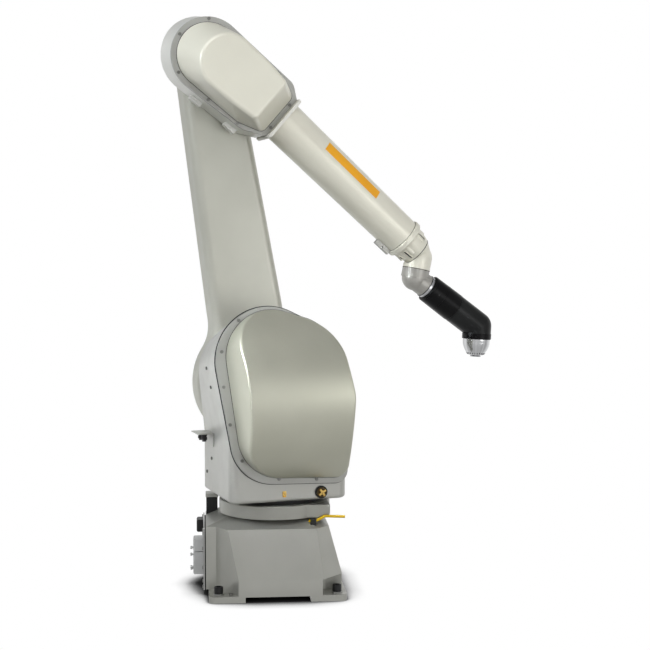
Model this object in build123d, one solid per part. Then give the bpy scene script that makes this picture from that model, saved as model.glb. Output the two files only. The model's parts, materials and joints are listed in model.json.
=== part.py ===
"""Six-axis painting robot with a hollow three-roll wrist and a rotary bell atomizer.

Lengths are in mm and angles in degrees. The origin is on the floor, at the centre of the four base bolts.
+Z is up and +X is the robot's forward direction when its first axis stands at zero.
Every turning piece is drawn in the arm's own plane and then turned about the first axis to its rest angle.
"""

import os
from math import acos, atan2, cos, hypot, pi, sin

from build123d import *

os.makedirs("parts", exist_ok=True)

# Rest angles of the axes
J1_REST_DEG = 14.5
ARM_LEAN_DEG = 9.15
FOREARM_DROP_DEG = 41.5
WRIST_BEND_DEG = 60.0
ADAPTER_BEND_DEG = 66.0
NOSE_BEND_DEG = 58.0

# Fits that several pieces share
RUN_GAP = 0.3
OVERRUN = 40.0

# Axis places
J2_HEIGHT = 905.0
INNER_LENGTH = 1480.0
FOREARM_LENGTH = 1314.0

# Base casting
FOOT_LENGTH = 600.0
FOOT_WIDTH = 660.0
FOOT_THICK = 28.0
FOOT_CORNER_R = 28.0
RELIEF_WIDTH = 284.0
RELIEF_HEIGHT = 24.0
BOLT_END_MARGIN = 42.0
BOLT_SIDE_MARGIN = 45.0
BOLT_HOLE_R = 13.5
POCKET_REACH = 65.0
POCKET_DEPTH = 70.0
POCKET_CORNER_R = 34.0
SKIRT_FRONT_INSET = 14.0
SKIRT_BACK_INSET = 33.0
SKIRT_TOP = 97.0
SKIRT_FRONT_CUT_X = 87.0
SKIRT_FRONT_CUT_Y = 105.0
BODY_TOP = 305.0
BODY_FRONT_INSET = 70.0
BODY_SIDE_INSET = 68.0
BODY_FRONT_CUT_X = 58.0
BODY_FRONT_CUT_Y = 70.0
BACK_FACET_SHARE = 0.66
REAR_BOX_OVERHANG = 12.0
REAR_BOX_SIDE_INSET = 144.0
ROOF_SHARE = 0.68
ROOF_HEIGHT = 38.0

# First-axis ring on the base, with the square pad for the stop
RING_INSET = 12.0
RING_HEIGHT = 60.0
RING_PAD_LEAD = 5.0
RING_PAD_SIDE_INSET = 42.0
RING_EDGE = 3.0

# Connector panel on the back of the base
PANEL_THICK = 6.0
PANEL_SIDE_MARGIN = 10.0
PANEL_BOTTOM = 20.0
PANEL_HEIGHT = 283.0
PANEL_CORNER_R = 14.0
GASKET_THICK = 5.0
GASKET_MARGIN = 10.0
CONNECTOR_OUT = 46.0
CONNECTOR_WIDTH = 92.0
CONNECTOR_CORNER_R = 8.0
UPPER_CONNECTOR_HEIGHT = 56.0
UPPER_CONNECTOR_BOTTOM = 156.0
LOWER_CONNECTOR_HEIGHT = 102.0
LOWER_CONNECTOR_BOTTOM = 52.0
CONNECTOR_PLACE_Y = 45.0
PANEL_BOX_OUT = 30.0
PANEL_BOX_WIDTH = 74.0
PANEL_BOX_HEIGHT = 56.0
PANEL_BOX_BOTTOM = 244.0

# Limit box on the back corner of the base, and the yellow stop lever
LIMIT_BOX_LENGTH = 52.0
LIMIT_BOX_WIDTH = 70.0
LIMIT_BOX_HEIGHT = 79.0
LIMIT_BOX_INSET = 29.0
LIMIT_BOX_SIDE_INSET = 46.0
LIMIT_LID_HEIGHT = 18.0
LIMIT_LID_MARGIN = 3.0
LEVER_ROD_R = 6.0
LEVER_BEND_R = 26.0
LEVER_FOOT_X = 140.0
LEVER_RISE_X = 172.0
LEVER_KNEE_X = 212.0
LEVER_TIP_X = 300.0
LEVER_EDGE_INSET = 44.0
LEVER_FOOT_LIFT = 27.0
LEVER_KNEE_LIFT = 47.0
LEVER_TIP_LIFT = 43.0
CLAMP_LENGTH = 26.0
CLAMP_WIDTH = 34.0
CLAMP_HEIGHT = 36.0

# Turntable and shoulder housing
TURNTABLE_INSET = 28.0
TURNTABLE_HEIGHT = 18.0
HOUSING_NEAR = 240.0
HOUSING_FAR = 205.0
HOUSING_ROUND_X = -87.0
HOUSING_ROUND_Z = 965.0
HOUSING_ROUND_R = 212.0
HOUSING_FRONT_ROUND_R = 190.0
HOUSING_CORNER_R = 48.0
HOUSING_SOLE_R = 16.0
FLANGE_REVEAL = 3.0

# Shoulder flange and its domed cover: rounds of the outline, seen from the near side
FLANGE_THICK = 16.0
CROWN_BACK_X = -107.0
CROWN_BACK_Z = 1045.0
CROWN_BACK_R = 233.0
CROWN_FRONT_X = -12.0
CROWN_FRONT_Z = 945.0
CROWN_FRONT_R = 282.0
HEEL_X = -78.0
HEEL_Z = 702.0
HEEL_R = 197.0
TOE_X = 205.0
TOE_Z = 550.0
TOE_R = 55.0
COVER_DEPTH = 190.0
ROOT_TOE_X = 200.0
ROOT_TOE_Z = 575.0
ROOT_TOE_R = 55.0
ROOT_SIDE_X = 38.0
ROOT_SIDE_Z = 880.0
ROOT_SIDE_R = 212.0
ROOT_CROWN_FRONT_X = -8.0
ROOT_CROWN_FRONT_Z = 1005.0
ROOT_CROWN_FRONT_R = 233.0
ROOT_CROWN_BACK_X = -96.0
ROOT_CROWN_BACK_Z = 1066.0
ROOT_CROWN_BACK_R = 200.0
ROOT_HEEL_X = -48.0
ROOT_HEEL_Z = 729.0
ROOT_HEEL_R = 198.0
FACE_TOE_X = 166.0
FACE_TOE_Z = 606.0
FACE_TOE_R = 50.0
FACE_SIDE_X = 30.0
FACE_SIDE_Z = 880.0
FACE_SIDE_R = 200.0
FACE_CROWN_FRONT_X = -20.0
FACE_CROWN_FRONT_Z = 1000.0
FACE_CROWN_FRONT_R = 223.0
FACE_CROWN_BACK_X = -110.0
FACE_CROWN_BACK_Z = 1115.0
FACE_CROWN_BACK_R = 147.0
FACE_HEEL_X = -98.0
FACE_HEEL_Z = 695.0
FACE_HEEL_R = 131.0
COVER_DOME_R = 480.0
COVER_DOME_Z = 890.0
COVER_EDGE_R = 13.0

# Purge fitting and earth terminal under the cover, on the housing's near face
PURGE_X = 140.0
PURGE_Z = 456.0
PURGE_SEAT_R = 28.0
PURGE_SEAT_THICK = 7.0
PURGE_R = 20.0
PURGE_HEX_OUT = 9.0
PURGE_NOSE_R = 12.0
PURGE_NOSE_OUT = 12.0
EARTH_X = -30.0
EARTH_R = 10.0
EARTH_OUT = 16.0

# Cable bracket on the back wall of the housing
BRACKET_Z = 700.0
BRACKET_OUT = 76.0
BRACKET_WIDTH = 118.0
BRACKET_THICK = 6.0
BRACKET_DROP = 62.0
BRACKET_Y = 96.0
BRACKET_PLUG_R = 14.0
BRACKET_PLUG_DROP = 34.0
BRACKET_PLUG_PITCH = 58.0

# Inner arm
JOINT_DISC_R = 186.0
ELBOW_DISC_R = 130.0
JOINT_DISC_THICK = 8.0
ARM_THICK = 150.0
ARM_HUB_R = 296.0
ARM_WAIST_HALF = 172.0
ARM_WAIST_UP = 360.0
ARM_TOP_HALF = 138.0
ARM_TOP_R = 150.0
ARM_NECK_R = 190.0
ARM_EDGE_R = 30.0
ARM_NEAR_EDGE_R = 42.0
LOWER_CAP_R = 205.0
UPPER_CAP_R = 112.0
CAP_THICK = 12.0
CAP_EDGE = 5.0

# Elbow casting, flange and domed cover, along the forearm from the third axis
CASTING_DEPTH = 168.0
CASTING_BACK_X = -62.0
CASTING_BACK_Z = -12.0
CASTING_BACK_R = 180.0
ELBOW_BACK_X = -47.0
ELBOW_BACK_Z = -24.0
ELBOW_BACK_R = 172.0
ELBOW_END = 380.0
ELBOW_BEND_R = 60.0
ELBOW_TOP = 155.0
ELBOW_TOP_BEND_X = 300.0
ELBOW_BOTTOM = 164.0
ELBOW_LOW_BEND_X = 262.0
ELBOW_CORNER_R = 10.0
ELBOW_REVEAL = 2.0
ELBOW_LIP = 25.0
ELBOW_COVER_DEPTH = 150.0
ELBOW_COVER_TOP = 147.0
ELBOW_COVER_BOTTOM = 155.0
ELBOW_COVER_BEND_X = 225.0
ELBOW_COVER_END = 357.0
ELBOW_COVER_END_HALF = 119.0
ELBOW_COVER_CORNER_R = 33.0
ELBOW_FACE_BACK_X = 26.0
ELBOW_FACE_BACK_R = 130.0
ELBOW_FACE_TOP = 104.0
ELBOW_FACE_BOTTOM = 145.0
ELBOW_FACE_BEND_X = 140.0
ELBOW_FACE_BEND_R = 32.0
ELBOW_FACE_END = 269.0
ELBOW_FACE_END_TOP = 98.0
ELBOW_FACE_END_BOTTOM = 134.0
ELBOW_FACE_CORNER_R = 26.0
ELBOW_COVER_EDGE_R = 20.0
TAB_LENGTH = 62.0
TAB_WIDTH = 40.0
TAB_DROP = 16.0
TAB_SINK = 30.0
TAB_FIRST_X = 20.0
TAB_SECOND_X = 214.0

# Forearm tube and wrist base
END_PLATE_THICK = 15.0
END_PLATE_NEAR = 104.0
END_PLATE_TOP = 116.0
END_PLATE_BOTTOM = 112.0
END_PLATE_CORNER_R = 20.0
TUBE_Y = 105.0
TUBE_RISE = 10.0
TUBE_ROOT_R = 99.0
TUBE_TIP_R = 91.0
COLLAR_LENGTH = 28.0
COLLAR_R = 99.0
COLLAR_EDGE = 4.0
LUG_LENGTH = 84.0
LUG_WIDTH = 24.0
LUG_DROP = 14.0
LUG_HOLE_R = 6.0
LUG_ROOT = 12.0
WRIST_BASE_ROOT_R = 88.0
WRIST_BASE_WAIST_R = 79.0
WRIST_BASE_WAIST = 48.0
WRIST_BASE_LENGTH = 76.0
WRIST_SEAM_BACK = 18.0
WRIST_R = 72.0
WRIST_BOSS_R = 14.0
WRIST_BOSS_COUNT = 6

# Wrist elbow, grey adapter and tool
WRIST_BORE_R = 65.0
WRIST_HEEL_GAP = 11.0
WRIST_DOME_OUT = 20.0
WRIST_NECK = 8.0
WRIST_NECK_TIP_R = 46.0
J5_SEAM_OUT = 75.0
J6_OUT = 117.0
ADAPTER_BALL_R = 60.0
ADAPTER_NECK_R = 54.0
ADAPTER_END = 68.0
TOOL_RING_R = 56.0
TOOL_RING_LENGTH = 15.0
BODY_R = 67.0
BODY_REAR_LENGTH = 167.0
BODY_NECK_R = 68.0
BODY_BEND = 406.0
BODY_STEP = 2.5
BODY_EDGE = 4.0
NOSE_LENGTH = 36.0
NOSE_RING_R = 70.0
NOSE_RING_LENGTH = 26.0
AIR_CAP_R = 66.0
AIR_CAP_TIP_R = 37.0
AIR_CAP_LIP = 12.0
AIR_CAP_LENGTH = 78.0
AIR_CAP_BULGE = 8.0
BELL_ROOT_R = 22.0
BELL_R = 27.0
BELL_LENGTH = 8.0
BELL_DISH = 6.0
BELL_WALL = 3.0


# Places worked out from the sizes above
HALF_TURN_DEG = 180.0
RIGHT_DEG = 90.0
BOLT_SPACING_X = FOOT_LENGTH - 2 * BOLT_END_MARGIN
BOLT_SPACING_Y = FOOT_WIDTH - 2 * BOLT_SIDE_MARGIN
SKIRT_FRONT = FOOT_LENGTH / 2 - SKIRT_FRONT_INSET
SKIRT_BACK = FOOT_LENGTH / 2 - SKIRT_BACK_INSET
SKIRT_HALF_WIDTH = FOOT_WIDTH / 2
BODY_FRONT = FOOT_LENGTH / 2 - BODY_FRONT_INSET
BODY_HALF_WIDTH = FOOT_WIDTH / 2 - BODY_SIDE_INSET
REAR_BOX_BACK = FOOT_LENGTH / 2 + REAR_BOX_OVERHANG
REAR_BOX_HALF_WIDTH = FOOT_WIDTH / 2 - REAR_BOX_SIDE_INSET
PANEL_HALF_WIDTH = REAR_BOX_HALF_WIDTH - PANEL_SIDE_MARGIN
LIMIT_BOX_X = LIMIT_BOX_INSET - REAR_BOX_BACK
LIMIT_BOX_Y = REAR_BOX_HALF_WIDTH - LIMIT_BOX_SIDE_INSET
RING_R = BODY_HALF_WIDTH - RING_INSET
RING_PAD_FRONT = BODY_FRONT + RING_PAD_LEAD
RING_PAD_HALF_WIDTH = RING_R - RING_PAD_SIDE_INSET
TURNTABLE_R = RING_R - TURNTABLE_INSET
LEVER_Y = LEVER_EDGE_INSET - BODY_HALF_WIDTH
RING_BOTTOM = BODY_TOP + ROOF_HEIGHT
RING_TOP = RING_BOTTOM + RING_HEIGHT
HOUSING_BOTTOM = RING_TOP + RUN_GAP + TURNTABLE_HEIGHT
ARM_NEAR = HOUSING_FAR + JOINT_DISC_THICK
PANEL_X = -REAR_BOX_BACK - GASKET_THICK
WRIST_SEAM = FOREARM_LENGTH - WRIST_SEAM_BACK
TUBE_END = WRIST_SEAM - WRIST_BASE_LENGTH - COLLAR_LENGTH
FLANGE_FACE = -HOUSING_NEAR - FLANGE_THICK
HOUSING_FRONT_X = CROWN_FRONT_X + CROWN_FRONT_R - FLANGE_REVEAL
HOUSING_BACK_X = HEEL_R - HEEL_X - FLANGE_REVEAL
CASTING_NEAR = HOUSING_FAR - CASTING_DEPTH


def inner_place():
    return Pos(0, 0, J2_HEIGHT) * Rot(0, -ARM_LEAN_DEG, 0)


def forearm_place():
    return inner_place() * Pos(0, 0, INNER_LENGTH) * Rot(0, ARM_LEAN_DEG + FOREARM_DROP_DEG, 0)


def wrist_place():
    """Wrist centre, with X along the forearm."""
    return forearm_place() * Pos(FOREARM_LENGTH, TUBE_Y, TUBE_RISE)


def hand_place():
    """Wrist centre, with X along the fifth axis."""
    return wrist_place() * Rot(0, WRIST_BEND_DEG, 0)


def tool_place():
    """Crossing of the fifth and sixth axes, with X along the sixth."""
    return hand_place() * Pos(J6_OUT, 0, 0) * Rot(0, -ADAPTER_BEND_DEG, 0)


def nose_place():
    return tool_place() * Pos(BODY_BEND, 0, 0) * Rot(0, NOSE_BEND_DEG, 0)


def side_plane(y):
    """Drawing plane seen from the near side: across is X, up is Z, and the normal points to the viewer."""
    return Plane(origin=(0, y, 0), x_dir=(1, 0, 0), z_dir=(0, -1, 0))


def hull_wire(rounds, y):
    """Belt line round a row of circles (x, z, r), listed anticlockwise as seen from the near side."""
    count = len(rounds)
    normals = []
    for i in range(count):
        x0, z0, r0 = rounds[i]
        x1, z1, r1 = rounds[(i + 1) % count]
        span = hypot(x1 - x0, z1 - z0)
        normals.append(atan2(z1 - z0, x1 - x0) - acos((r0 - r1) / span))
    edges = []
    for i in range(count):
        x, z, r = rounds[i]
        start = normals[i - 1]
        stop = normals[i]
        while stop < start:
            stop += 2 * pi
        angles = (start, (start + stop) / 2, stop)
        points = [(x + r * cos(a), z + r * sin(a)) for a in angles]
        edges.append(ThreePointArc(*points))
        x1, z1, r1 = rounds[(i + 1) % count]
        after = (x1 + r1 * cos(stop), z1 + r1 * sin(stop))
        edges.append(Line(points[-1], after))
    return side_plane(y).location * Wire(edges)


def hull_slab(rounds, far_y, near_y):
    return extrude(Face(hull_wire(rounds, far_y)), amount=far_y - near_y, dir=(0, -1, 0))


def shrunk(rounds, inset):
    return [(x, z, r - inset) for x, z, r in rounds]


def block(x0, x1, y0, y1, z0, z1):
    centre = ((x0 + x1) / 2, (y0 + y1) / 2, (z0 + z1) / 2)
    return Pos(*centre) * Box(abs(x1 - x0), abs(y1 - y0), abs(z1 - z0))


def rod_x(radius, x0, x1, tip_radius=None):
    """Round bar or cone along X."""
    length = x1 - x0
    bar = Cylinder(radius, length) if tip_radius is None else Cone(radius, tip_radius, length)
    return Pos((x0 + x1) / 2, 0, 0) * Rot(0, RIGHT_DEG, 0) * bar


def rod_y(radius, y0, y1):
    return Pos(0, (y0 + y1) / 2, 0) * Rot(RIGHT_DEG, 0, 0) * Cylinder(radius, abs(y1 - y0))


def rod_z(radius, z0, z1):
    return Pos(0, 0, (z0 + z1) / 2) * Cylinder(radius, z1 - z0)


def turned_profile(points):
    """Solid of revolution about X from (along, radius) points."""
    return revolve(Face(Wire.make_polygon([(x, 0, r) for x, r in points])), axis=Axis.X)


def domed_rod(radius, centre, end):
    """Rod along X up to the end, closed at its start by a half sphere about the centre."""
    back = centre - radius
    slant = radius * cos(pi / 4)
    dome = ThreePointArc((back, 0, 0), (centre - slant, 0, slant), (centre, 0, radius))
    sides = Polyline((centre, 0, radius), (end, 0, radius), (end, 0, 0), (back, 0, 0))
    return revolve(Face(Wire([dome, *sides.edges()])), axis=Axis.X)


def back_corner(half_width):
    """X of a level's back corner, on the upright facet that starts at the rear box."""
    return BACK_FACET_SHARE * (half_width - REAR_BOX_HALF_WIDTH) - SKIRT_BACK


def base_outline(front, half_width, front_cut_x, front_cut_y, z):
    """Eight-sided level of the casting; every level meets the rear box at the same corners."""
    points = [
        (back_corner(half_width), -half_width, z),
        (front - front_cut_x, -half_width, z),
        (front, front_cut_y - half_width, z),
        (front, half_width - front_cut_y, z),
        (front - front_cut_x, half_width, z),
        (back_corner(half_width), half_width, z),
        (-SKIRT_BACK, REAR_BOX_HALF_WIDTH, z),
        (-SKIRT_BACK, -REAR_BOX_HALF_WIDTH, z),
    ]
    return Wire.make_polygon(points)


def base_roof():
    """Faceted roof that rises from the edge of the casting and of its rear box to the ring."""
    side = [
        (-REAR_BOX_BACK, REAR_BOX_HALF_WIDTH),
        (-SKIRT_BACK, REAR_BOX_HALF_WIDTH),
        (back_corner(BODY_HALF_WIDTH), BODY_HALF_WIDTH),
        (BODY_FRONT - BODY_FRONT_CUT_X, BODY_HALF_WIDTH),
        (BODY_FRONT, BODY_HALF_WIDTH - BODY_FRONT_CUT_Y),
    ]
    around = side + [(x, -y) for x, y in reversed(side)]
    eaves = Wire.make_polygon([(x, y, BODY_TOP) for x, y in around])
    crown = Wire.make_polygon([(ROOF_SHARE * x, ROOF_SHARE * y, RING_BOTTOM) for x, y in around])
    return Solid.make_loft([eaves, crown], True)


def bolt_places():
    for sx in (-1, 1):
        for sy in (-1, 1):
            yield sx * BOLT_SPACING_X / 2, sy * BOLT_SPACING_Y / 2


def base_casting():
    foot = extrude(RectangleRounded(FOOT_LENGTH, FOOT_WIDTH, FOOT_CORNER_R), amount=FOOT_THICK)
    skirt = (SKIRT_FRONT, SKIRT_HALF_WIDTH, SKIRT_FRONT_CUT_X, SKIRT_FRONT_CUT_Y)
    top = (BODY_FRONT, BODY_HALF_WIDTH, BODY_FRONT_CUT_X, BODY_FRONT_CUT_Y)
    lower = Solid.make_loft([base_outline(*skirt, FOOT_THICK), base_outline(*skirt, SKIRT_TOP)], True)
    upper = Solid.make_loft([base_outline(*skirt, SKIRT_TOP), base_outline(*top, BODY_TOP)], True)
    rear = block(-REAR_BOX_BACK, 0, -REAR_BOX_HALF_WIDTH, REAR_BOX_HALF_WIDTH, FOOT_THICK, BODY_TOP)
    for side_y in (-1, 1):
        lower -= bolt_pocket(side_y)
    casting = foot + lower + upper + rear + base_roof()
    half = RELIEF_WIDTH / 2
    side = FOOT_WIDTH / 2 + OVERRUN
    casting -= block(-half, half, -side, side, -OVERRUN, RELIEF_HEIGHT)
    for x, y in bolt_places():
        casting -= Pos(x, y, 0) * rod_z(BOLT_HOLE_R, -OVERRUN, FOOT_THICK + OVERRUN)
    return casting


def bolt_pocket(side_y):
    """Room over a front anchor bolt, with a rounded inner corner."""
    reach = POCKET_REACH + OVERRUN
    depth = POCKET_DEPTH + OVERRUN
    pocket = extrude(RectangleRounded(2 * reach, 2 * depth, POCKET_CORNER_R), amount=SKIRT_TOP)
    x = BOLT_SPACING_X / 2 + OVERRUN
    y = side_y * (BOLT_SPACING_Y / 2 + OVERRUN)
    return Pos(x, y, FOOT_THICK) * pocket


def j1_ring():
    ring = rod_z(RING_R, RING_BOTTOM, RING_TOP)
    ring = chamfer(ring.edges().group_by(Axis.Z)[-1], RING_EDGE)
    half = RING_PAD_HALF_WIDTH
    return ring + block(0, RING_PAD_FRONT, -half, half, RING_BOTTOM, RING_TOP - RING_EDGE)


def back_plate(thick, half_width, bottom, top, x):
    sheet = RectangleRounded(2 * half_width, top - bottom, PANEL_CORNER_R)
    plane = Plane(origin=(x, 0, (bottom + top) / 2), x_dir=(0, -1, 0), z_dir=(-1, 0, 0))
    return extrude(plane * sheet, amount=thick)


def panel_gasket():
    top = PANEL_BOTTOM + PANEL_HEIGHT - GASKET_MARGIN
    half_width = PANEL_HALF_WIDTH - GASKET_MARGIN
    return back_plate(GASKET_THICK, half_width, PANEL_BOTTOM + GASKET_MARGIN, top, -REAR_BOX_BACK)


def connector_panel():
    return back_plate(PANEL_THICK, PANEL_HALF_WIDTH, PANEL_BOTTOM, PANEL_BOTTOM + PANEL_HEIGHT, PANEL_X)


def panel_unit(out, width, height, bottom, y):
    """A housing bolted to the panel's outer face."""
    face_x = PANEL_X - PANEL_THICK
    unit = block(face_x - out, face_x, y - width / 2, y + width / 2, bottom, bottom + height)
    return fillet(unit.faces().sort_by(Axis.X)[0].edges(), CONNECTOR_CORNER_R)


def limit_box():
    half_l = LIMIT_BOX_LENGTH / 2
    half_w = LIMIT_BOX_WIDTH / 2
    top = BODY_TOP + LIMIT_BOX_HEIGHT
    box = block(-half_l, half_l, -half_w, half_w, BODY_TOP, top)
    return Pos(LIMIT_BOX_X, LIMIT_BOX_Y, 0) * box - base_roof()


def limit_box_lid():
    half_l = LIMIT_BOX_LENGTH / 2 + LIMIT_LID_MARGIN
    half_w = LIMIT_BOX_WIDTH / 2 + LIMIT_LID_MARGIN
    bottom = BODY_TOP + LIMIT_BOX_HEIGHT
    lid = block(-half_l, half_l, -half_w, half_w, bottom, bottom + LIMIT_LID_HEIGHT)
    lid = fillet(lid.faces().sort_by(Axis.Z)[-1].edges(), LIMIT_LID_MARGIN)
    return Pos(LIMIT_BOX_X, LIMIT_BOX_Y, 0) * lid


def lever_path():
    points = [
        (LEVER_FOOT_X, LEVER_Y, BODY_TOP + LEVER_FOOT_LIFT),
        (LEVER_RISE_X, LEVER_Y, BODY_TOP + LEVER_FOOT_LIFT),
        (LEVER_KNEE_X, LEVER_Y, BODY_TOP + LEVER_KNEE_LIFT),
        (LEVER_TIP_X, LEVER_Y, BODY_TOP + LEVER_TIP_LIFT),
    ]
    return FilletPolyline(*points, radius=LEVER_BEND_R)


def stop_lever():
    path = lever_path()
    return sweep(Plane(origin=path @ 0, z_dir=path % 0) * Circle(LEVER_ROD_R), path=path)


def lever_clamp():
    x0 = LEVER_FOOT_X + LEVER_ROD_R
    half = CLAMP_WIDTH / 2
    clamp = block(x0, x0 + CLAMP_LENGTH, LEVER_Y - half, LEVER_Y + half, BODY_TOP, BODY_TOP + CLAMP_HEIGHT)
    return clamp - base_roof() - stop_lever()


def turntable():
    return rod_z(TURNTABLE_R, RING_TOP + RUN_GAP, HOUSING_BOTTOM)


def shoulder_housing():
    """Trunk with rounded near corners, and a head that tapers from the flange to the second axis' round."""
    trunk = block(-HOUSING_BACK_X, HOUSING_FRONT_X, -HOUSING_NEAR, HOUSING_FAR, HOUSING_BOTTOM, CROWN_FRONT_Z)
    trunk = fillet(trunk.edges().filter_by(Axis.Z).group_by(Axis.Y)[0], HOUSING_CORNER_R)
    trunk = fillet(trunk.faces().sort_by(Axis.Z)[0].edges(), HOUSING_SOLE_R)
    toe, crown_front, crown_back, heel = shrunk(flange_rounds(), FLANGE_REVEAL)
    far_front = (HOUSING_FRONT_X - HOUSING_FRONT_ROUND_R, CROWN_FRONT_Z, HOUSING_FRONT_ROUND_R)
    far_head = (HOUSING_ROUND_X, HOUSING_ROUND_Z, HOUSING_ROUND_R)
    near_wire = hull_wire([toe, crown_front, crown_back, heel], -HOUSING_NEAR)
    far_wire = hull_wire([toe, far_front, far_head, heel], HOUSING_FAR)
    return trunk + Solid.make_loft([near_wire, far_wire])


def flange_rounds():
    return [
        (TOE_X, TOE_Z, TOE_R),
        (CROWN_FRONT_X, CROWN_FRONT_Z, CROWN_FRONT_R),
        (CROWN_BACK_X, CROWN_BACK_Z, CROWN_BACK_R),
        (HEEL_X, HEEL_Z, HEEL_R),
    ]


def shoulder_flange():
    return hull_slab(flange_rounds(), -HOUSING_NEAR, FLANGE_FACE)


def shoulder_cover():
    """Pressed cover: the face bulges forward in a long arc that runs out at the crown."""
    root = [
        (ROOT_TOE_X, ROOT_TOE_Z, ROOT_TOE_R),
        (ROOT_SIDE_X, ROOT_SIDE_Z, ROOT_SIDE_R),
        (ROOT_CROWN_FRONT_X, ROOT_CROWN_FRONT_Z, ROOT_CROWN_FRONT_R),
        (ROOT_CROWN_BACK_X, ROOT_CROWN_BACK_Z, ROOT_CROWN_BACK_R),
        (ROOT_HEEL_X, ROOT_HEEL_Z, ROOT_HEEL_R),
    ]
    face = [
        (FACE_TOE_X, FACE_TOE_Z, FACE_TOE_R),
        (FACE_SIDE_X, FACE_SIDE_Z, FACE_SIDE_R),
        (FACE_CROWN_FRONT_X, FACE_CROWN_FRONT_Z, FACE_CROWN_FRONT_R),
        (FACE_CROWN_BACK_X, FACE_CROWN_BACK_Z, FACE_CROWN_BACK_R),
        (FACE_HEEL_X, FACE_HEEL_Z, FACE_HEEL_R),
    ]
    front = FLANGE_FACE - COVER_DEPTH
    cover = Solid.make_loft([hull_wire(root, FLANGE_FACE), hull_wire(face, front)])
    length = 2 * (HOUSING_BACK_X + HOUSING_FRONT_X)
    dome = Pos(0, front + COVER_DOME_R, COVER_DOME_Z) * Rot(0, RIGHT_DEG, 0) * Cylinder(COVER_DOME_R, length)
    cover = cover & dome
    near_face = cover.faces().sort_by(Axis.Y)[0]
    return fillet(near_face.edges(), COVER_EDGE_R)


def on_near_face(x, z, shape):
    """Stands a piece drawn along +X out of the housing's near face."""
    return Pos(x, -HOUSING_NEAR, z) * Rot(0, 0, -RIGHT_DEG) * shape


def purge_seat():
    return on_near_face(PURGE_X, PURGE_Z, rod_x(PURGE_SEAT_R, 0, PURGE_SEAT_THICK))


def purge_fitting():
    hexagon = Plane.YZ.offset(PURGE_SEAT_THICK) * RegularPolygon(PURGE_R, 6)
    body = extrude(hexagon, amount=PURGE_HEX_OUT)
    nose_root = PURGE_SEAT_THICK + PURGE_HEX_OUT
    nose = rod_x(PURGE_NOSE_R, nose_root, nose_root + PURGE_NOSE_OUT)
    return on_near_face(PURGE_X, PURGE_Z, body + nose)


def earth_terminal():
    return on_near_face(EARTH_X, PURGE_Z, rod_x(EARTH_R, 0, EARTH_OUT))


def cable_bracket():
    near = BRACKET_Y - BRACKET_WIDTH / 2
    far = BRACKET_Y + BRACKET_WIDTH / 2
    wall = -HOUSING_BACK_X
    shelf = block(wall - BRACKET_OUT, wall, near, far, BRACKET_Z - BRACKET_THICK, BRACKET_Z)
    leg = block(wall - BRACKET_THICK, wall, near, far, BRACKET_Z - BRACKET_DROP, BRACKET_Z)
    return shelf + leg - shoulder_housing()


def bracket_connectors():
    x = -HOUSING_BACK_X - BRACKET_OUT / 2
    top = BRACKET_Z - BRACKET_THICK
    plug = rod_z(BRACKET_PLUG_R, top - BRACKET_PLUG_DROP, top)
    first = Pos(x, BRACKET_Y - BRACKET_PLUG_PITCH / 2, 0) * plug
    second = Pos(x, BRACKET_Y + BRACKET_PLUG_PITCH / 2, 0) * plug
    return Compound([first.solid(), second.solid()])


def j2_disc():
    return Pos(0, 0, J2_HEIGHT) * rod_y(JOINT_DISC_R, HOUSING_FAR, ARM_NEAR - RUN_GAP)


def inner_arm():
    waist = side_plane(0) * Polygon(
        (-ARM_WAIST_HALF, ARM_WAIST_UP), (ARM_WAIST_HALF, ARM_WAIST_UP),
        (ARM_TOP_HALF, INNER_LENGTH), (-ARM_TOP_HALF, INNER_LENGTH), align=None)
    foot = side_plane(0) * Polygon(
        (-ARM_WAIST_HALF, 0), (ARM_WAIST_HALF, 0),
        (ARM_WAIST_HALF, ARM_WAIST_UP), (-ARM_WAIST_HALF, ARM_WAIST_UP), align=None)
    hub = side_plane(0) * Circle(ARM_HUB_R)
    top = side_plane(0) * Pos(0, INNER_LENGTH) * Circle(ARM_TOP_R)
    outline = waist + foot + hub + top
    far = ARM_NEAR + ARM_THICK
    slab = extrude(Pos(0, far, 0) * outline, amount=ARM_THICK)
    necks = [e for e in slab.edges().filter_by(Axis.Y) if 0 < e.center().Z < ARM_WAIST_UP]
    slab = fillet(necks, ARM_NECK_R)
    slab = fillet(slab.edges().group_by(Axis.Y)[-1], ARM_EDGE_R)
    slab = fillet(slab.edges().group_by(Axis.Y)[0], ARM_NEAR_EDGE_R)
    return inner_place() * slab


def arm_cap(radius, up):
    far = ARM_NEAR + ARM_THICK
    cap = rod_y(radius, far, far + CAP_THICK)
    cap = chamfer(cap.edges().group_by(Axis.Y)[-1], CAP_EDGE)
    return inner_place() * Pos(0, 0, up) * cap


def elbow_rounds(back):
    """Outline of the elbow: the round back, and the end that narrows to the end plate."""
    corner_x = ELBOW_END - ELBOW_CORNER_R
    return [
        back,
        (ELBOW_LOW_BEND_X, ELBOW_BEND_R - ELBOW_BOTTOM, ELBOW_BEND_R),
        (corner_x, ELBOW_CORNER_R - END_PLATE_BOTTOM, ELBOW_CORNER_R),
        (corner_x, END_PLATE_TOP - ELBOW_CORNER_R, ELBOW_CORNER_R),
        (ELBOW_TOP_BEND_X, ELBOW_TOP - ELBOW_BEND_R, ELBOW_BEND_R),
    ]


def elbow_flange_rounds():
    return elbow_rounds((ELBOW_BACK_X, ELBOW_BACK_Z, ELBOW_BACK_R))


def j3_disc():
    return forearm_place() * rod_y(ELBOW_DISC_R, HOUSING_FAR, ARM_NEAR - RUN_GAP)


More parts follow.
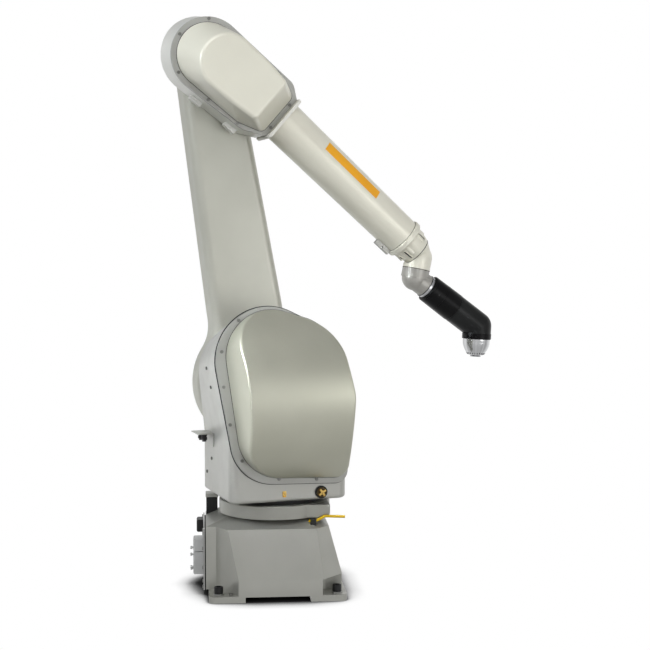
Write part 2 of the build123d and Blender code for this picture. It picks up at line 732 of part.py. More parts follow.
def casting_body():
    """Casting between the flange and the third axis, a little fuller at its round back."""
    seat = CASTING_NEAR + FLANGE_THICK
    near_rounds = shrunk(elbow_flange_rounds(), ELBOW_REVEAL)
    far_rounds = shrunk(elbow_rounds((CASTING_BACK_X, CASTING_BACK_Z, CASTING_BACK_R)), ELBOW_REVEAL)
    return Solid.make_loft([hull_wire(near_rounds, seat), hull_wire(far_rounds, HOUSING_FAR)])


def elbow_casting():
    return forearm_place() * casting_body()


def elbow_flange():
    return forearm_place() * hull_slab(elbow_flange_rounds(), CASTING_NEAR + FLANGE_THICK, CASTING_NEAR)


def elbow_cover():
    """Pressed cover with a round back, drafted walls and a long slope towards the tube."""
    end_x = ELBOW_COVER_END - ELBOW_COVER_CORNER_R
    end_z = ELBOW_COVER_END_HALF - ELBOW_COVER_CORNER_R
    root = [
        (ELBOW_BACK_X, ELBOW_BACK_Z, ELBOW_BACK_R - ELBOW_LIP),
        (ELBOW_COVER_BEND_X, ELBOW_BEND_R - ELBOW_COVER_BOTTOM, ELBOW_BEND_R),
        (end_x, -end_z, ELBOW_COVER_CORNER_R),
        (end_x, end_z, ELBOW_COVER_CORNER_R),
        (ELBOW_COVER_BEND_X, ELBOW_COVER_TOP - ELBOW_BEND_R, ELBOW_BEND_R),
    ]
    face_x = ELBOW_FACE_END - ELBOW_FACE_CORNER_R
    face = [
        (ELBOW_FACE_BACK_X, ELBOW_BACK_Z, ELBOW_FACE_BACK_R),
        (ELBOW_FACE_BEND_X, ELBOW_FACE_BEND_R - ELBOW_FACE_BOTTOM, ELBOW_FACE_BEND_R),
        (face_x, ELBOW_FACE_CORNER_R - ELBOW_FACE_END_BOTTOM, ELBOW_FACE_CORNER_R),
        (face_x, ELBOW_FACE_END_TOP - ELBOW_FACE_CORNER_R, ELBOW_FACE_CORNER_R),
        (ELBOW_FACE_BEND_X, ELBOW_FACE_TOP - ELBOW_FACE_BEND_R, ELBOW_FACE_BEND_R),
    ]
    near = CASTING_NEAR - ELBOW_COVER_DEPTH
    cover = Solid.make_loft([hull_wire(root, CASTING_NEAR), hull_wire(face, near)])
    edges = cover.faces().sort_by(Axis.Y)[0].edges()
    return forearm_place() * fillet(edges, ELBOW_COVER_EDGE_R)


def elbow_tabs():
    middle = (CASTING_NEAR + FLANGE_THICK + HOUSING_FAR) / 2
    casting = casting_body()
    tabs = []
    for x in (TAB_FIRST_X, TAB_SECOND_X):
        share = (ELBOW_END - x) / (ELBOW_END - ELBOW_BACK_X)
        z = (ELBOW_BACK_Z - ELBOW_BACK_R + ELBOW_BOTTOM) * share - ELBOW_BOTTOM
        tab = block(x, x + TAB_LENGTH, middle, middle + TAB_WIDTH, z - TAB_DROP, z + TAB_SINK)
        tabs.append((tab - casting).solid())
    return forearm_place() * Compound(tabs)


def end_plate():
    width = END_PLATE_NEAR + HOUSING_FAR - TUBE_Y
    height = END_PLATE_TOP + END_PLATE_BOTTOM
    centre_y = (TUBE_Y - END_PLATE_NEAR + HOUSING_FAR) / 2
    centre_z = (END_PLATE_TOP - END_PLATE_BOTTOM) / 2
    plane = Plane(origin=(ELBOW_END, centre_y, centre_z), x_dir=(0, 1, 0), z_dir=(1, 0, 0))
    sheet = plane * RectangleRounded(width, height, END_PLATE_CORNER_R)
    return forearm_place() * extrude(sheet, amount=END_PLATE_THICK)


def on_tube(shape):
    return forearm_place() * Pos(0, TUBE_Y, TUBE_RISE) * shape


def forearm_tube():
    return on_tube(rod_x(TUBE_ROOT_R, ELBOW_END + END_PLATE_THICK, TUBE_END, TUBE_TIP_R))


def wrist_collar():
    ring = rod_x(COLLAR_R, TUBE_END, TUBE_END + COLLAR_LENGTH)
    return on_tube(chamfer(ring.edges(), COLLAR_EDGE))


def tube_lug():
    half = LUG_WIDTH / 2
    lug = block(TUBE_END - LUG_LENGTH, TUBE_END, -half, half, -COLLAR_R - LUG_DROP, -TUBE_TIP_R + LUG_ROOT)
    lug -= rod_x(TUBE_ROOT_R, ELBOW_END + END_PLATE_THICK, TUBE_END, TUBE_TIP_R)
    hole = Pos(TUBE_END - LUG_LENGTH / 2, 0, -COLLAR_R - LUG_DROP / 2) * rod_y(LUG_HOLE_R, -OVERRUN, OVERRUN)
    return on_tube(lug - hole)


def wrist_base():
    start = TUBE_END + COLLAR_LENGTH
    stop = WRIST_SEAM - RUN_GAP
    profile = [
        (start, 0), (start, WRIST_BASE_ROOT_R), (start + WRIST_BASE_WAIST, WRIST_BASE_WAIST_R),
        (stop, WRIST_R), (stop, 0)]
    body = turned_profile(profile)
    boss = rod_x(WRIST_BOSS_R, start, start + WRIST_BASE_WAIST)
    for i in range(WRIST_BOSS_COUNT):
        turn = Rot(i * 2 * HALF_TURN_DEG / WRIST_BOSS_COUNT, 0, 0)
        body += turn * Pos(0, 0, WRIST_BASE_ROOT_R - WRIST_BOSS_R) * boss
    return on_tube(body)


def wrist_elbow():
    """Domed housing about the fifth axis, with a tapered neck that meets the fourth axis' seam."""
    barrel = Rot(0, WRIST_BEND_DEG, 0) * domed_rod(WRIST_BORE_R, WRIST_DOME_OUT, J5_SEAM_OUT)
    barrel -= rod_x(WRIST_R + WRIST_HEEL_GAP, -J5_SEAM_OUT - WRIST_BORE_R, -WRIST_SEAM_BACK)
    neck = turned_profile([
        (-WRIST_SEAM_BACK, 0), (-WRIST_SEAM_BACK, WRIST_R),
        (WRIST_DOME_OUT + WRIST_NECK, WRIST_NECK_TIP_R), (WRIST_DOME_OUT + WRIST_NECK, 0)])
    return wrist_place() * (barrel + neck)


def wrist_adapter():
    neck = rod_x(WRIST_BORE_R, J5_SEAM_OUT + RUN_GAP, J6_OUT)
    arm = Pos(J6_OUT, 0, 0) * Rot(0, -ADAPTER_BEND_DEG, 0) * rod_x(ADAPTER_NECK_R, 0, ADAPTER_END)
    body = neck + Pos(J6_OUT, 0, 0) * Sphere(ADAPTER_BALL_R) + arm
    reach = J6_OUT + ADAPTER_END
    seam = J5_SEAM_OUT + RUN_GAP
    body -= block(seam - reach, seam, -reach, reach, -reach, reach)
    return hand_place() * body


def tool_ring():
    start = ADAPTER_END + RUN_GAP
    return tool_place() * rod_x(TOOL_RING_R, start, ADAPTER_END + TOOL_RING_LENGTH)


def atomizer_rear():
    start = ADAPTER_END + TOOL_RING_LENGTH
    stop = start + BODY_REAR_LENGTH
    profile = [
        (start, 0), (start, BODY_R - BODY_EDGE), (start + BODY_EDGE, BODY_R),
        (stop - BODY_EDGE, BODY_R + BODY_STEP), (stop, BODY_R), (stop, 0)]
    return tool_place() * turned_profile(profile)


def atomizer_front():
    start = ADAPTER_END + TOOL_RING_LENGTH + BODY_REAR_LENGTH
    profile = [
        (start, 0), (start, BODY_R), (start + BODY_EDGE, BODY_NECK_R),
        (BODY_BEND, BODY_NECK_R), (BODY_BEND, 0)]
    body = turned_profile(profile) + Pos(BODY_BEND, 0, 0) * Sphere(BODY_NECK_R)
    body += Pos(BODY_BEND, 0, 0) * Rot(0, NOSE_BEND_DEG, 0) * rod_x(BODY_NECK_R, 0, NOSE_LENGTH)
    reach = BODY_NECK_R + OVERRUN
    face = block(NOSE_LENGTH, NOSE_LENGTH + reach, -reach, reach, -reach, reach)
    body -= Pos(BODY_BEND, 0, 0) * Rot(0, NOSE_BEND_DEG, 0) * face
    return tool_place() * body


def nose_ring():
    return nose_place() * rod_x(NOSE_RING_R, NOSE_LENGTH, NOSE_LENGTH + NOSE_RING_LENGTH)


def air_cap():
    start = NOSE_LENGTH + NOSE_RING_LENGTH
    stop = start + AIR_CAP_LENGTH
    shoulder = start + AIR_CAP_LIP
    middle = (shoulder + stop) / 2
    bulge_r = (AIR_CAP_R + AIR_CAP_TIP_R) / 2 + AIR_CAP_BULGE
    flank = ThreePointArc((shoulder, 0, AIR_CAP_R), (middle, 0, bulge_r), (stop, 0, AIR_CAP_TIP_R))
    corners = [
        (stop, 0, AIR_CAP_TIP_R), (stop, 0, 0), (start, 0, 0),
        (start, 0, AIR_CAP_R), (shoulder, 0, AIR_CAP_R)]
    sides = Polyline(*corners)
    return nose_place() * revolve(Face(Wire([flank, *sides.edges()])), axis=Axis.X)


def bell_cup():
    start = NOSE_LENGTH + NOSE_RING_LENGTH + AIR_CAP_LENGTH
    stop = start + BELL_LENGTH
    profile = [
        (start, 0), (start, BELL_ROOT_R), (stop, BELL_R), (stop, BELL_R - BELL_WALL),
        (stop - BELL_DISH, BELL_ROOT_R - BELL_WALL), (stop - BELL_DISH, 0)]
    return nose_place() * turned_profile(profile)


FIXED = {
    "base_casting": base_casting,
    "j1_ring": j1_ring,
    "panel_gasket": panel_gasket,
    "connector_panel": connector_panel,
    "upper_connector": lambda: panel_unit(
        CONNECTOR_OUT, CONNECTOR_WIDTH, UPPER_CONNECTOR_HEIGHT, UPPER_CONNECTOR_BOTTOM, CONNECTOR_PLACE_Y),
    "lower_connector": lambda: panel_unit(
        CONNECTOR_OUT, CONNECTOR_WIDTH, LOWER_CONNECTOR_HEIGHT, LOWER_CONNECTOR_BOTTOM, CONNECTOR_PLACE_Y),
    "panel_box": lambda: panel_unit(
        PANEL_BOX_OUT, PANEL_BOX_WIDTH, PANEL_BOX_HEIGHT, PANEL_BOX_BOTTOM, CONNECTOR_PLACE_Y),
    "limit_box": limit_box,
    "limit_box_lid": limit_box_lid,
    "stop_lever": stop_lever,
    "lever_clamp": lever_clamp,
}

TURNING = {
    "turntable": turntable,
    "shoulder_housing": shoulder_housing,
    "shoulder_flange": shoulder_flange,
    "shoulder_cover": shoulder_cover,
    "purge_seat": purge_seat,
    "purge_fitting": purge_fitting,
    "earth_terminal": earth_terminal,
    "cable_bracket": cable_bracket,
    "bracket_connectors": bracket_connectors,
    "j2_disc": j2_disc,
    "inner_arm": inner_arm,
    "arm_lower_cap": lambda: arm_cap(LOWER_CAP_R, 0),
    "arm_upper_cap": lambda: arm_cap(UPPER_CAP_R, INNER_LENGTH),
    "j3_disc": j3_disc,
    "elbow_casting": elbow_casting,
    "elbow_flange": elbow_flange,
    "elbow_cover": elbow_cover,
    "elbow_tabs": elbow_tabs,
    "end_plate": end_plate,
    "forearm_tube": forearm_tube,
    "tube_lug": tube_lug,
    "wrist_collar": wrist_collar,
    "wrist_base": wrist_base,
    "wrist_elbow": wrist_elbow,
    "wrist_adapter": wrist_adapter,
    "tool_ring": tool_ring,
    "atomizer_rear": atomizer_rear,
    "atomizer_front": atomizer_front,
    "nose_ring": nose_ring,
    "air_cap": air_cap,
    "bell_cup": bell_cup,
}

for name, make in FIXED.items():
    export_step(make(), f"parts/{name}.step")

for name, make in TURNING.items():
    export_step(Rot(0, 0, J1_REST_DEG) * make(), f"parts/{name}.step")
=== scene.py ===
# %% [markdown]
# # A painting robot in a white studio
# This lesson dresses a six-axis painting robot: a cast base, a turning shoulder, one long arm, an elbow
# with a tube, a hollow wrist and a bent bell atomizer. The CAD solids arrive with their places and sizes,
# so Blender's work is the finish: soft edges, paint, bare metal, screws, seams and light.

# %% Load the solids
import json
import math

import bmesh
import bpy
from mathutils import Matrix, Vector
from mathutils.bvhtree import BVHTree


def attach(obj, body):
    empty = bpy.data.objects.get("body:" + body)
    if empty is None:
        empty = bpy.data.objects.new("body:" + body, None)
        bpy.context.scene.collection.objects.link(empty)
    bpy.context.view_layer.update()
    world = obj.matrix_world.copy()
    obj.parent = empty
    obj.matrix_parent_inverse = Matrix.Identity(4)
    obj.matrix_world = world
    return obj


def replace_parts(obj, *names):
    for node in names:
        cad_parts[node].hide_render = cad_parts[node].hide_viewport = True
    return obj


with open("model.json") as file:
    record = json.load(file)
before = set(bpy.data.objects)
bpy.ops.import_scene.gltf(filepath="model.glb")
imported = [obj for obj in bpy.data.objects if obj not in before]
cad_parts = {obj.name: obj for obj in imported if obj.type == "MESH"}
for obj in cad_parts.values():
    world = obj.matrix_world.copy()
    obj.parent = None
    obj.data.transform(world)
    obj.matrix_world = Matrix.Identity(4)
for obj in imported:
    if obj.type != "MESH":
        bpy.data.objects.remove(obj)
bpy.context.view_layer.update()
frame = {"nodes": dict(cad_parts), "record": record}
nodes = frame["nodes"]
record = frame["record"]
scene = bpy.context.scene
scene.view_settings.view_transform = "Standard"

# %% [markdown]
# ## Working frames
# The robot stands with its first joint turned a little, and each link leans by its own angle. Small parts
# are easiest to place in the frame of the link that carries them, so each link gets a matrix. The
# shoulder and the long arm share an upright one. From the elbow on, X runs along the link, Y across it
# and Z away from it. Chaining the matrices is the same as posing a chain of empties by hand. Lengths are
# in metres and angles in degrees.

# %% Frames of the links
BASE_TURN = 14.5
FOREARM_DROP = 41.5
TUBE_SIDE = 0.105
TUBE_RISE = 0.010
FOREARM_LENGTH = 1.314
WRIST_BEND = 60
WRIST_LENGTH = 0.117
TOOL_BEND = -66
TOOL_LENGTH = 0.406
NOSE_BEND = 58
NOSE_LENGTH = 0.148
joints = {joint["name"]: Vector(joint["pos_m"]) for joint in record["behaviour"]["joints"]}


def turn(degrees, axis):
    return Matrix.Rotation(math.radians(degrees), 4, axis)


def shift(x, y=0.0, z=0.0):
    return Matrix.Translation((x, y, z))


arm = turn(BASE_TURN, "Z")
elbow_point = arm.inverted() @ joints["j3_elbow"]
forearm = arm @ shift(elbow_point.x, 0, elbow_point.z) @ turn(FOREARM_DROP, "Y")
tube = forearm @ shift(0, TUBE_SIDE, TUBE_RISE)
wrist = tube @ shift(FOREARM_LENGTH) @ turn(WRIST_BEND, "Y")
tool = wrist @ shift(WRIST_LENGTH) @ turn(TOOL_BEND, "Y")
nose = tool @ shift(TOOL_LENGTH) @ turn(NOSE_BEND, "Y")
print("tool tip near", [round(v, 3) for v in nose @ Vector((NOSE_LENGTH, 0, 0))])

# %% [markdown]
# ## Camera
# The photograph was taken from about shoulder height with a long lens, so upright lines stay nearly
# upright. A long lens on a 36 mm sensor, tipped down by about three degrees, gives the same calm
# perspective.

# %% Camera
CAMERA_TILT = 3.3
CAMERA_PAN = 5
camera_data = bpy.data.cameras.new("camera")
camera_data.sensor_width = 36.0
camera_data.lens = 76.7
camera = bpy.data.objects.new("camera", camera_data)
scene.collection.objects.link(camera)
camera.location = (-0.315, -6.236, 1.543)
camera.rotation_euler = (math.radians(90 - CAMERA_TILT), 0, math.radians(-CAMERA_PAN))
scene.camera = camera
aim = camera.rotation_euler.to_matrix() @ Vector((0, 0, -1))
print("camera looks along", [round(v, 2) for v in aim])

# %% [markdown]
# ## Node helpers
# Every material below is a handful of nodes and links. Three short helpers keep that readable. One turns
# the 0 to 255 numbers of a colour picker into the linear values that Blender uses, one makes a node and
# sets its inputs, and one makes a ramp of greys from a list of stops.


# %% Node helpers
def srgb(red, green, blue):
    def linear(value):
        share = value / 255
        return share / 12.92 if share <= 0.04045 else ((share + 0.055) / 1.055) ** 2.4

    return (linear(red), linear(green), linear(blue), 1.0)


def node(tree, kind, inputs=None, **settings):
    made = tree.nodes.new(kind)
    for key, value in settings.items():
        setattr(made, key, value)
    for key, value in (inputs or {}).items():
        if isinstance(value, bpy.types.NodeSocket):
            tree.links.new(value, made.inputs[key])
        else:
            made.inputs[key].default_value = value
    return made


def ramp(tree, factor, stops):
    made = node(tree, "ShaderNodeValToRGB", {"Fac": factor})
    bands = made.color_ramp.elements
    bands[0].position, bands[1].position = stops[0][0], stops[-1][0]
    for position, _ in stops[1:-1]:
        bands.new(position)
    for band, (_, grey) in zip(bands, stops):
        band.color = (grey, grey, grey, 1)
    return made.outputs["Color"]


print("mid grey 128 is", round(srgb(128, 128, 128)[0], 3), "in linear light")

# %% [markdown]
# ## Studio
# A white sweep lights the robot evenly: brightest at eye level and greyer overhead, which is what gives
# the domed covers their bright middle and darker top. Bright metal needs something dark to mirror, so two
# narrow dark flags and a wider grey one stand round the set, and its left end is dim. The camera itself
# sees plain white.

# %% World
OVERHEAD_BANDS = [(0.0, 0.50), (0.47, 1.0), (0.60, 1.0), (0.70, 0.86), (0.77, 0.42), (1.0, 0.26)]
FLAG_BANDS = [
    (0.0, 0.32), (0.06, 0.45), (0.15, 0.70), (0.17, 0.08), (0.21, 0.08), (0.23, 0.78), (0.335, 0.78),
    (0.35, 0.08), (0.39, 0.08), (0.41, 0.75), (0.5, 0.75), (0.62, 0.95), (0.75, 1.0), (0.78, 0.50),
    (0.83, 0.50), (0.85, 1.0), (0.95, 1.0), (0.97, 0.35), (1.0, 0.32)]
world = bpy.data.worlds.new("studio")
scene.world = world
world.use_nodes = True
sky = world.node_tree
sky.nodes.clear()
direction = node(sky, "ShaderNodeTexCoord").outputs["Generated"]
height = node(sky, "ShaderNodeSeparateXYZ", {"Vector": direction}).outputs["Z"]
lift = node(sky, "ShaderNodeMapRange", {"Value": height, "From Min": -1.0, "From Max": 1.0})
overhead = ramp(sky, lift.outputs["Result"], OVERHEAD_BANDS)
around = node(sky, "ShaderNodeTexGradient", {"Vector": direction}, gradient_type="RADIAL")
flags = ramp(sky, around.outputs["Fac"], FLAG_BANDS)
both = {"Fac": 1.0, "Color1": overhead, "Color2": flags}
lit = node(sky, "ShaderNodeMixRGB", both, blend_type="MULTIPLY")
studio = node(sky, "ShaderNodeBackground", {"Color": lit.outputs["Color"], "Strength": 1.0})
plain = node(sky, "ShaderNodeBackground", {"Color": (1, 1, 1, 1), "Strength": 1.0})
path = node(sky, "ShaderNodeLightPath")
either = node(sky, "ShaderNodeMixShader", {0: path.outputs["Is Camera Ray"], 1: studio.outputs[0],
                                           2: plain.outputs[0]})
node(sky, "ShaderNodeOutputWorld", {"Surface": either.outputs[0]})
print("world has", len(sky.nodes), "nodes")

# %% [markdown]
# A large soft lamp high in front shapes the castings. A low one in front lifts what faces down a little,
# such as the near side of the tube; it is kept out of reflections, so that it leaves no second bright
# spot on the domes. A weak lamp on the right and two cool ones on the left pick out the ends and flanks.
# Each call gives a power in watts, a width and a height, a place and a point to aim at. The powers are
# set so that a painted surface renders about as bright as its colour is written.


# %% Lamps
def soft_lamp(name, power, wide, tall, place, target):
    data = bpy.data.lights.new(name, "AREA")
    data.energy = power
    data.shape = "RECTANGLE"
    data.size = wide
    data.size_y = tall
    lamp = bpy.data.objects.new(name, data)
    scene.collection.objects.link(lamp)
    lamp.location = place
    lamp.rotation_euler = (Vector(target) - Vector(place)).to_track_quat("-Z", "Y").to_euler()
    return lamp


soft_lamp("key", 94, 3.0, 3.0, (-0.2, -4.6, 6.1), (0.0, 0.0, 1.2))
front = soft_lamp("front", 112, 2.4, 1.6, (2.2, -6.3, 0.6), (0.3, 0.0, 1.7))
front.visible_glossy = False
fill = soft_lamp("fill", 4.5, 1.8, 1.8, (3.4, -3.2, 1.2), (0.3, -0.1, 2.1))
fill.data.spread = math.radians(60)
side = soft_lamp("side", 11, 1.2, 1.2, (-2.8, -1.5, 3.5), (-0.2, 0.0, 2.3))
side.data.spread = math.radians(80)
flank = soft_lamp("flank", 2.6, 0.6, 0.6, (-3.2, -1.9, 2.0), (-0.15, -0.35, 0.98))
flank.data.spread = math.radians(22)
COOL_WHITE = (0.90, 0.95, 1.0)
for lamp in (side, flank):
    lamp.data.color = COOL_WHITE

# %% [markdown]
# The floor is white paper. To the camera it glows plain white, with a painted contact shadow where the
# base stands: ambient occlusion darkens the glow there. Reflections see a sweep that is greyest under the
# robot, which is painted shade, and lightest at the back, and every other ray meets matt grey, which
# bounces a little light back up.

# %% Floor
FLOOR_REACH = 30
SHADOW_REACH = 0.13
SHADOW_BANDS = [(0.0, 0.0), (0.45, 0.02), (0.62, 0.22), (0.80, 0.75), (0.97, 1.0)]
SWEEP_REACH = 4.0
SWEEP_BANDS = [(0.0, 0.75), (0.32, 0.65), (0.44, 0.60), (0.52, 0.60), (0.66, 0.95), (1.0, 1.0)]
MATT_GREY = (0.24, 0.24, 0.24, 1)
floor_mesh = bpy.data.meshes.new("floor")
sheet = bmesh.new()
bmesh.ops.create_grid(sheet, x_segments=1, y_segments=1, size=FLOOR_REACH)
sheet.to_mesh(floor_mesh)
sheet.free()
floor = bpy.data.objects.new("floor", floor_mesh)
scene.collection.objects.link(floor)
paper = bpy.data.materials.new("white_paper")
paper.use_nodes = True
tree = paper.node_tree
tree.nodes.clear()
# Painted contact shadow: ambient occlusion darkens the white glow near the base.
contact = node(tree, "ShaderNodeAmbientOcclusion", {"Distance": SHADOW_REACH}, samples=32).outputs["AO"]
edge = ramp(tree, contact, SHADOW_BANDS)
bright = node(tree, "ShaderNodeEmission", {"Color": edge, "Strength": 1.0})
spot = node(tree, "ShaderNodeTexCoord").outputs["Object"]
away = node(tree, "ShaderNodeSeparateXYZ", {"Vector": spot}).outputs["Y"]
# The grey of the sweep under the robot is painted shade, seen only in reflections.
depth = node(tree, "ShaderNodeMapRange", {"Value": away, "From Min": -SWEEP_REACH, "From Max": SWEEP_REACH})
sweep = ramp(tree, depth.outputs[0], SWEEP_BANDS)
mirrored = node(tree, "ShaderNodeEmission", {"Color": sweep, "Strength": 1.0})
matt = node(tree, "ShaderNodeBsdfDiffuse", {"Color": MATT_GREY})
rays = node(tree, "ShaderNodeLightPath")
bounced = node(tree, "ShaderNodeMixShader", {0: rays.outputs["Is Glossy Ray"], 1: matt.outputs[0],
                                             2: mirrored.outputs[0]})
seen = node(tree, "ShaderNodeMixShader", {0: rays.outputs["Is Camera Ray"], 1: bounced.outputs[0],
                                          2: bright.outputs[0]})
node(tree, "ShaderNodeOutputMaterial", {"Surface": seen.outputs[0]})
floor_mesh.materials.append(paper)
print("floor is", floor.dimensions.x, "m wide")

# %% [markdown]
# ## Shared surface effects
# Sprayed paint is never quite even: its tone drifts over a hand's breadth, its gloss varies, and its skin
# has the fine ripple that painters call orange peel. One node group makes all three, and each paint gives
# it two tones.


# %% Paint skin group
def effect(name, inputs, outputs):
    group = bpy.data.node_groups.new(name, "ShaderNodeTree")
    for label, kind in inputs:
        group.interface.new_socket(label, in_out="INPUT", socket_type=kind)
    for label, kind in outputs:
        group.interface.new_socket(label, in_out="OUTPUT", socket_type=kind)
    return group, node(group, "NodeGroupInput"), node(group, "NodeGroupOutput")


COLOUR, VALUE, VECTOR = "NodeSocketColor", "NodeSocketFloat", "NodeSocketVector"
paint_skin, given, out = effect(
    "paint_skin", [("Tone", COLOUR), ("Shade", COLOUR), ("Ripple", VALUE)],
    [("Color", COLOUR), ("Gloss", VALUE), ("Height", VALUE)])
where = node(paint_skin, "ShaderNodeTexCoord").outputs["Object"]
drift = node(paint_skin, "ShaderNodeTexNoise", {"Vector": where, "Scale": 3.2, "Detail": 3.0})
spread = node(paint_skin, "ShaderNodeMapRange",
              {"Value": drift.outputs["Fac"], "From Min": 0.36, "From Max": 0.64})
tint = node(paint_skin, "ShaderNodeMixRGB",
            {"Fac": spread.outputs[0], "Color1": given.outputs["Tone"], "Color2": given.outputs["Shade"]})
sheen = node(paint_skin, "ShaderNodeTexNoise", {"Vector": where, "Scale": 14.0, "Detail": 4.0})
peel = node(paint_skin, "ShaderNodeTexNoise",
            {"Vector": where, "Scale": given.outputs["Ripple"], "Detail": 2.0})
paint_skin.links.new(tint.outputs[0], out.inputs["Color"])
paint_skin.links.new(sheen.outputs["Fac"], out.inputs["Gloss"])
paint_skin.links.new(peel.outputs["Fac"], out.inputs["Height"])
print(paint_skin.name, "has", len(paint_skin.nodes), "nodes")

# %% [markdown]
# Turned metal carries the fine rings that the lathe left, and its gloss and tone change a little round the
# part; the dark streaks of tone on the bright air cap are painted reflections. Both are read about the X
# axis of whatever frame the material maps in, so one group serves every turned part.

# %% Lathe group
lathe_marks, given, out = effect("lathe_marks", [("Vector", VECTOR), ("Pitch", VALUE)],
                                 [("Rings", VALUE), ("Streaks", VALUE)])
parts = node(lathe_marks, "ShaderNodeSeparateXYZ", {"Vector": given.outputs["Vector"]})
reach = {0: parts.outputs["X"], 1: given.outputs["Pitch"]}
along = node(lathe_marks, "ShaderNodeMath", reach, operation="MULTIPLY")
rings = node(lathe_marks, "ShaderNodeTexNoise", {"W": along.outputs[0], "Scale": 1.0, "Detail": 2.0},
             noise_dimensions="1D")
cross = {0: parts.outputs["Z"], 1: parts.outputs["Y"]}
angle = node(lathe_marks, "ShaderNodeMath", cross, operation="ARCTAN2")
streaks = node(lathe_marks, "ShaderNodeTexNoise", {"W": angle.outputs[0], "Scale": 2.4, "Detail": 3.0},
               noise_dimensions="1D")
lathe_marks.links.new(rings.outputs["Fac"], out.inputs["Rings"])
lathe_marks.links.new(streaks.outputs["Fac"], out.inputs["Streaks"])
print(lathe_marks.name, "has", len(lathe_marks.nodes), "nodes")

# %% [markdown]
# ## Paints
# The robot wears three main coats: a warm grey on the base, a silvery grey on the shoulder and the long
# arm, and a pale ivory on the forearm. Some metal flake in the greys makes them follow the light round a
# dome, which a plain coat would not. The roughness range keeps them all satin. Plastic, rubber and dull
# steel are made the same way, with other tones and a rougher or smoother skin.

# %% Paint materials
GLOSS_DRIFT = 0.05
PEEL_HEIGHT = 0.001


def paint(name, tone, shade, flake, rough, ripple=420.0, depth=0.05):
    made = bpy.data.materials.new(name)
    made.use_nodes = True
    inner = made.node_tree
    shader = inner.nodes["Principled BSDF"]
    skin = node(inner, "ShaderNodeGroup", node_tree=paint_skin)
    skin.inputs["Tone"].default_value = tone
    skin.inputs["Shade"].default_value = shade
    skin.inputs["Ripple"].default_value = ripple
    span = node(inner, "ShaderNodeMapRange",
                {"Value": skin.outputs["Gloss"], "From Min": 0.3, "From Max": 0.7,
                 "To Min": rough - GLOSS_DRIFT, "To Max": rough + GLOSS_DRIFT})
    bump = node(inner, "ShaderNodeBump",
                {"Height": skin.outputs["Height"], "Strength": depth, "Distance": PEEL_HEIGHT})
    inner.links.new(skin.outputs["Color"], shader.inputs["Base Color"])
    inner.links.new(span.outputs[0], shader.inputs["Roughness"])
    inner.links.new(bump.outputs[0], shader.inputs["Normal"])
    shader.inputs["Metallic"].default_value = flake
    return made


base_grey = paint("base_grey", srgb(182, 182, 175), srgb(176, 176, 169), 0.52, 0.38)
ring_silver = paint("ring_silver", srgb(164, 164, 157), srgb(159, 159, 152), 0.65, 0.36, depth=0.01)
shoulder_grey = paint("shoulder_grey", srgb(186, 186, 180), srgb(180, 180, 174), 0.55, 0.36)
cover_silver = paint("cover_silver", srgb(196, 196, 180), srgb(190, 190, 174), 0.60, 0.36)
arm_silver = paint("arm_silver", srgb(194, 194, 183), srgb(188, 188, 177), 0.40, 0.40)
ivory = paint("ivory", srgb(237, 235, 220), srgb(232, 230, 215), 0.14, 0.34)
casting_silver = paint("casting_silver", srgb(226, 226, 220), srgb(220, 220, 214), 0.35, 0.36)
flange_grey = paint("flange_grey", srgb(176, 176, 171), srgb(168, 168, 163), 0.35, 0.42)
enamel = paint("enamel", srgb(240, 239, 231), srgb(235, 234, 226), 0.0, 0.35)
signal_yellow = paint("signal_yellow", srgb(236, 196, 24), srgb(226, 184, 20), 0.0, 0.35)
amber_film = paint("amber_film", srgb(250, 178, 28), srgb(245, 170, 22), 0.0, 0.40, 120.0, 0.02)
satin_black = paint("satin_black", srgb(10, 10, 11), srgb(8, 8, 9), 0.0, 0.34, 600.0, 0.08)
# Nose black is lighter than satin black, partly as its own tone and partly as a painted sheen where the
# light catches the bent nose.
nose_black = paint("nose_black", srgb(36, 37, 37), srgb(30, 31, 31), 0.0, 0.32, 600.0, 0.08)
SOFT_SHINE = 0.14
for black in (satin_black, nose_black):
    black.node_tree.nodes["Principled BSDF"].inputs["Specular IOR Level"].default_value = SOFT_SHINE
box_black = paint("box_black", srgb(15, 15, 16), srgb(11, 11, 12), 0.0, 0.45, 500.0, 0.15)
rubber_black = paint("rubber_black", srgb(22, 22, 22), srgb(17, 17, 17), 0.0, 0.75, 300.0, 0.2)
oiled_steel = paint("oiled_steel", srgb(32, 32, 32), srgb(25, 25, 25), 0.6, 0.45, 300.0, 0.1)
cast_grey = paint("cast_grey", srgb(176, 174, 168), srgb(156, 154, 148), 0.40, 0.42, 220.0, 0.25)
zinc_grey = paint("zinc_grey", srgb(150, 150, 146), srgb(120, 120, 116), 0.8, 0.38, 500.0, 0.1)
print("paints", sum(1 for m in bpy.data.materials if "Principled BSDF" in m.node_tree.nodes))

# %% [markdown]
# ## Bare metals
# The tool ring, the air cap and the bell are turned aluminium, and the small fittings are brass. A
# Mapping node carries the part's own frame into the lathe group, so the rings run square to the part and
# not to the world. Cast metal and bronze have no lathe marks, so they come from the paint function, with
# more flake.

# %% Metal materials
LATHE_PITCH = 900.0
LATHE_DRIFT = 0.10
LATHE_DEPTH = 0.06
LATHE_HEIGHT = 0.0005


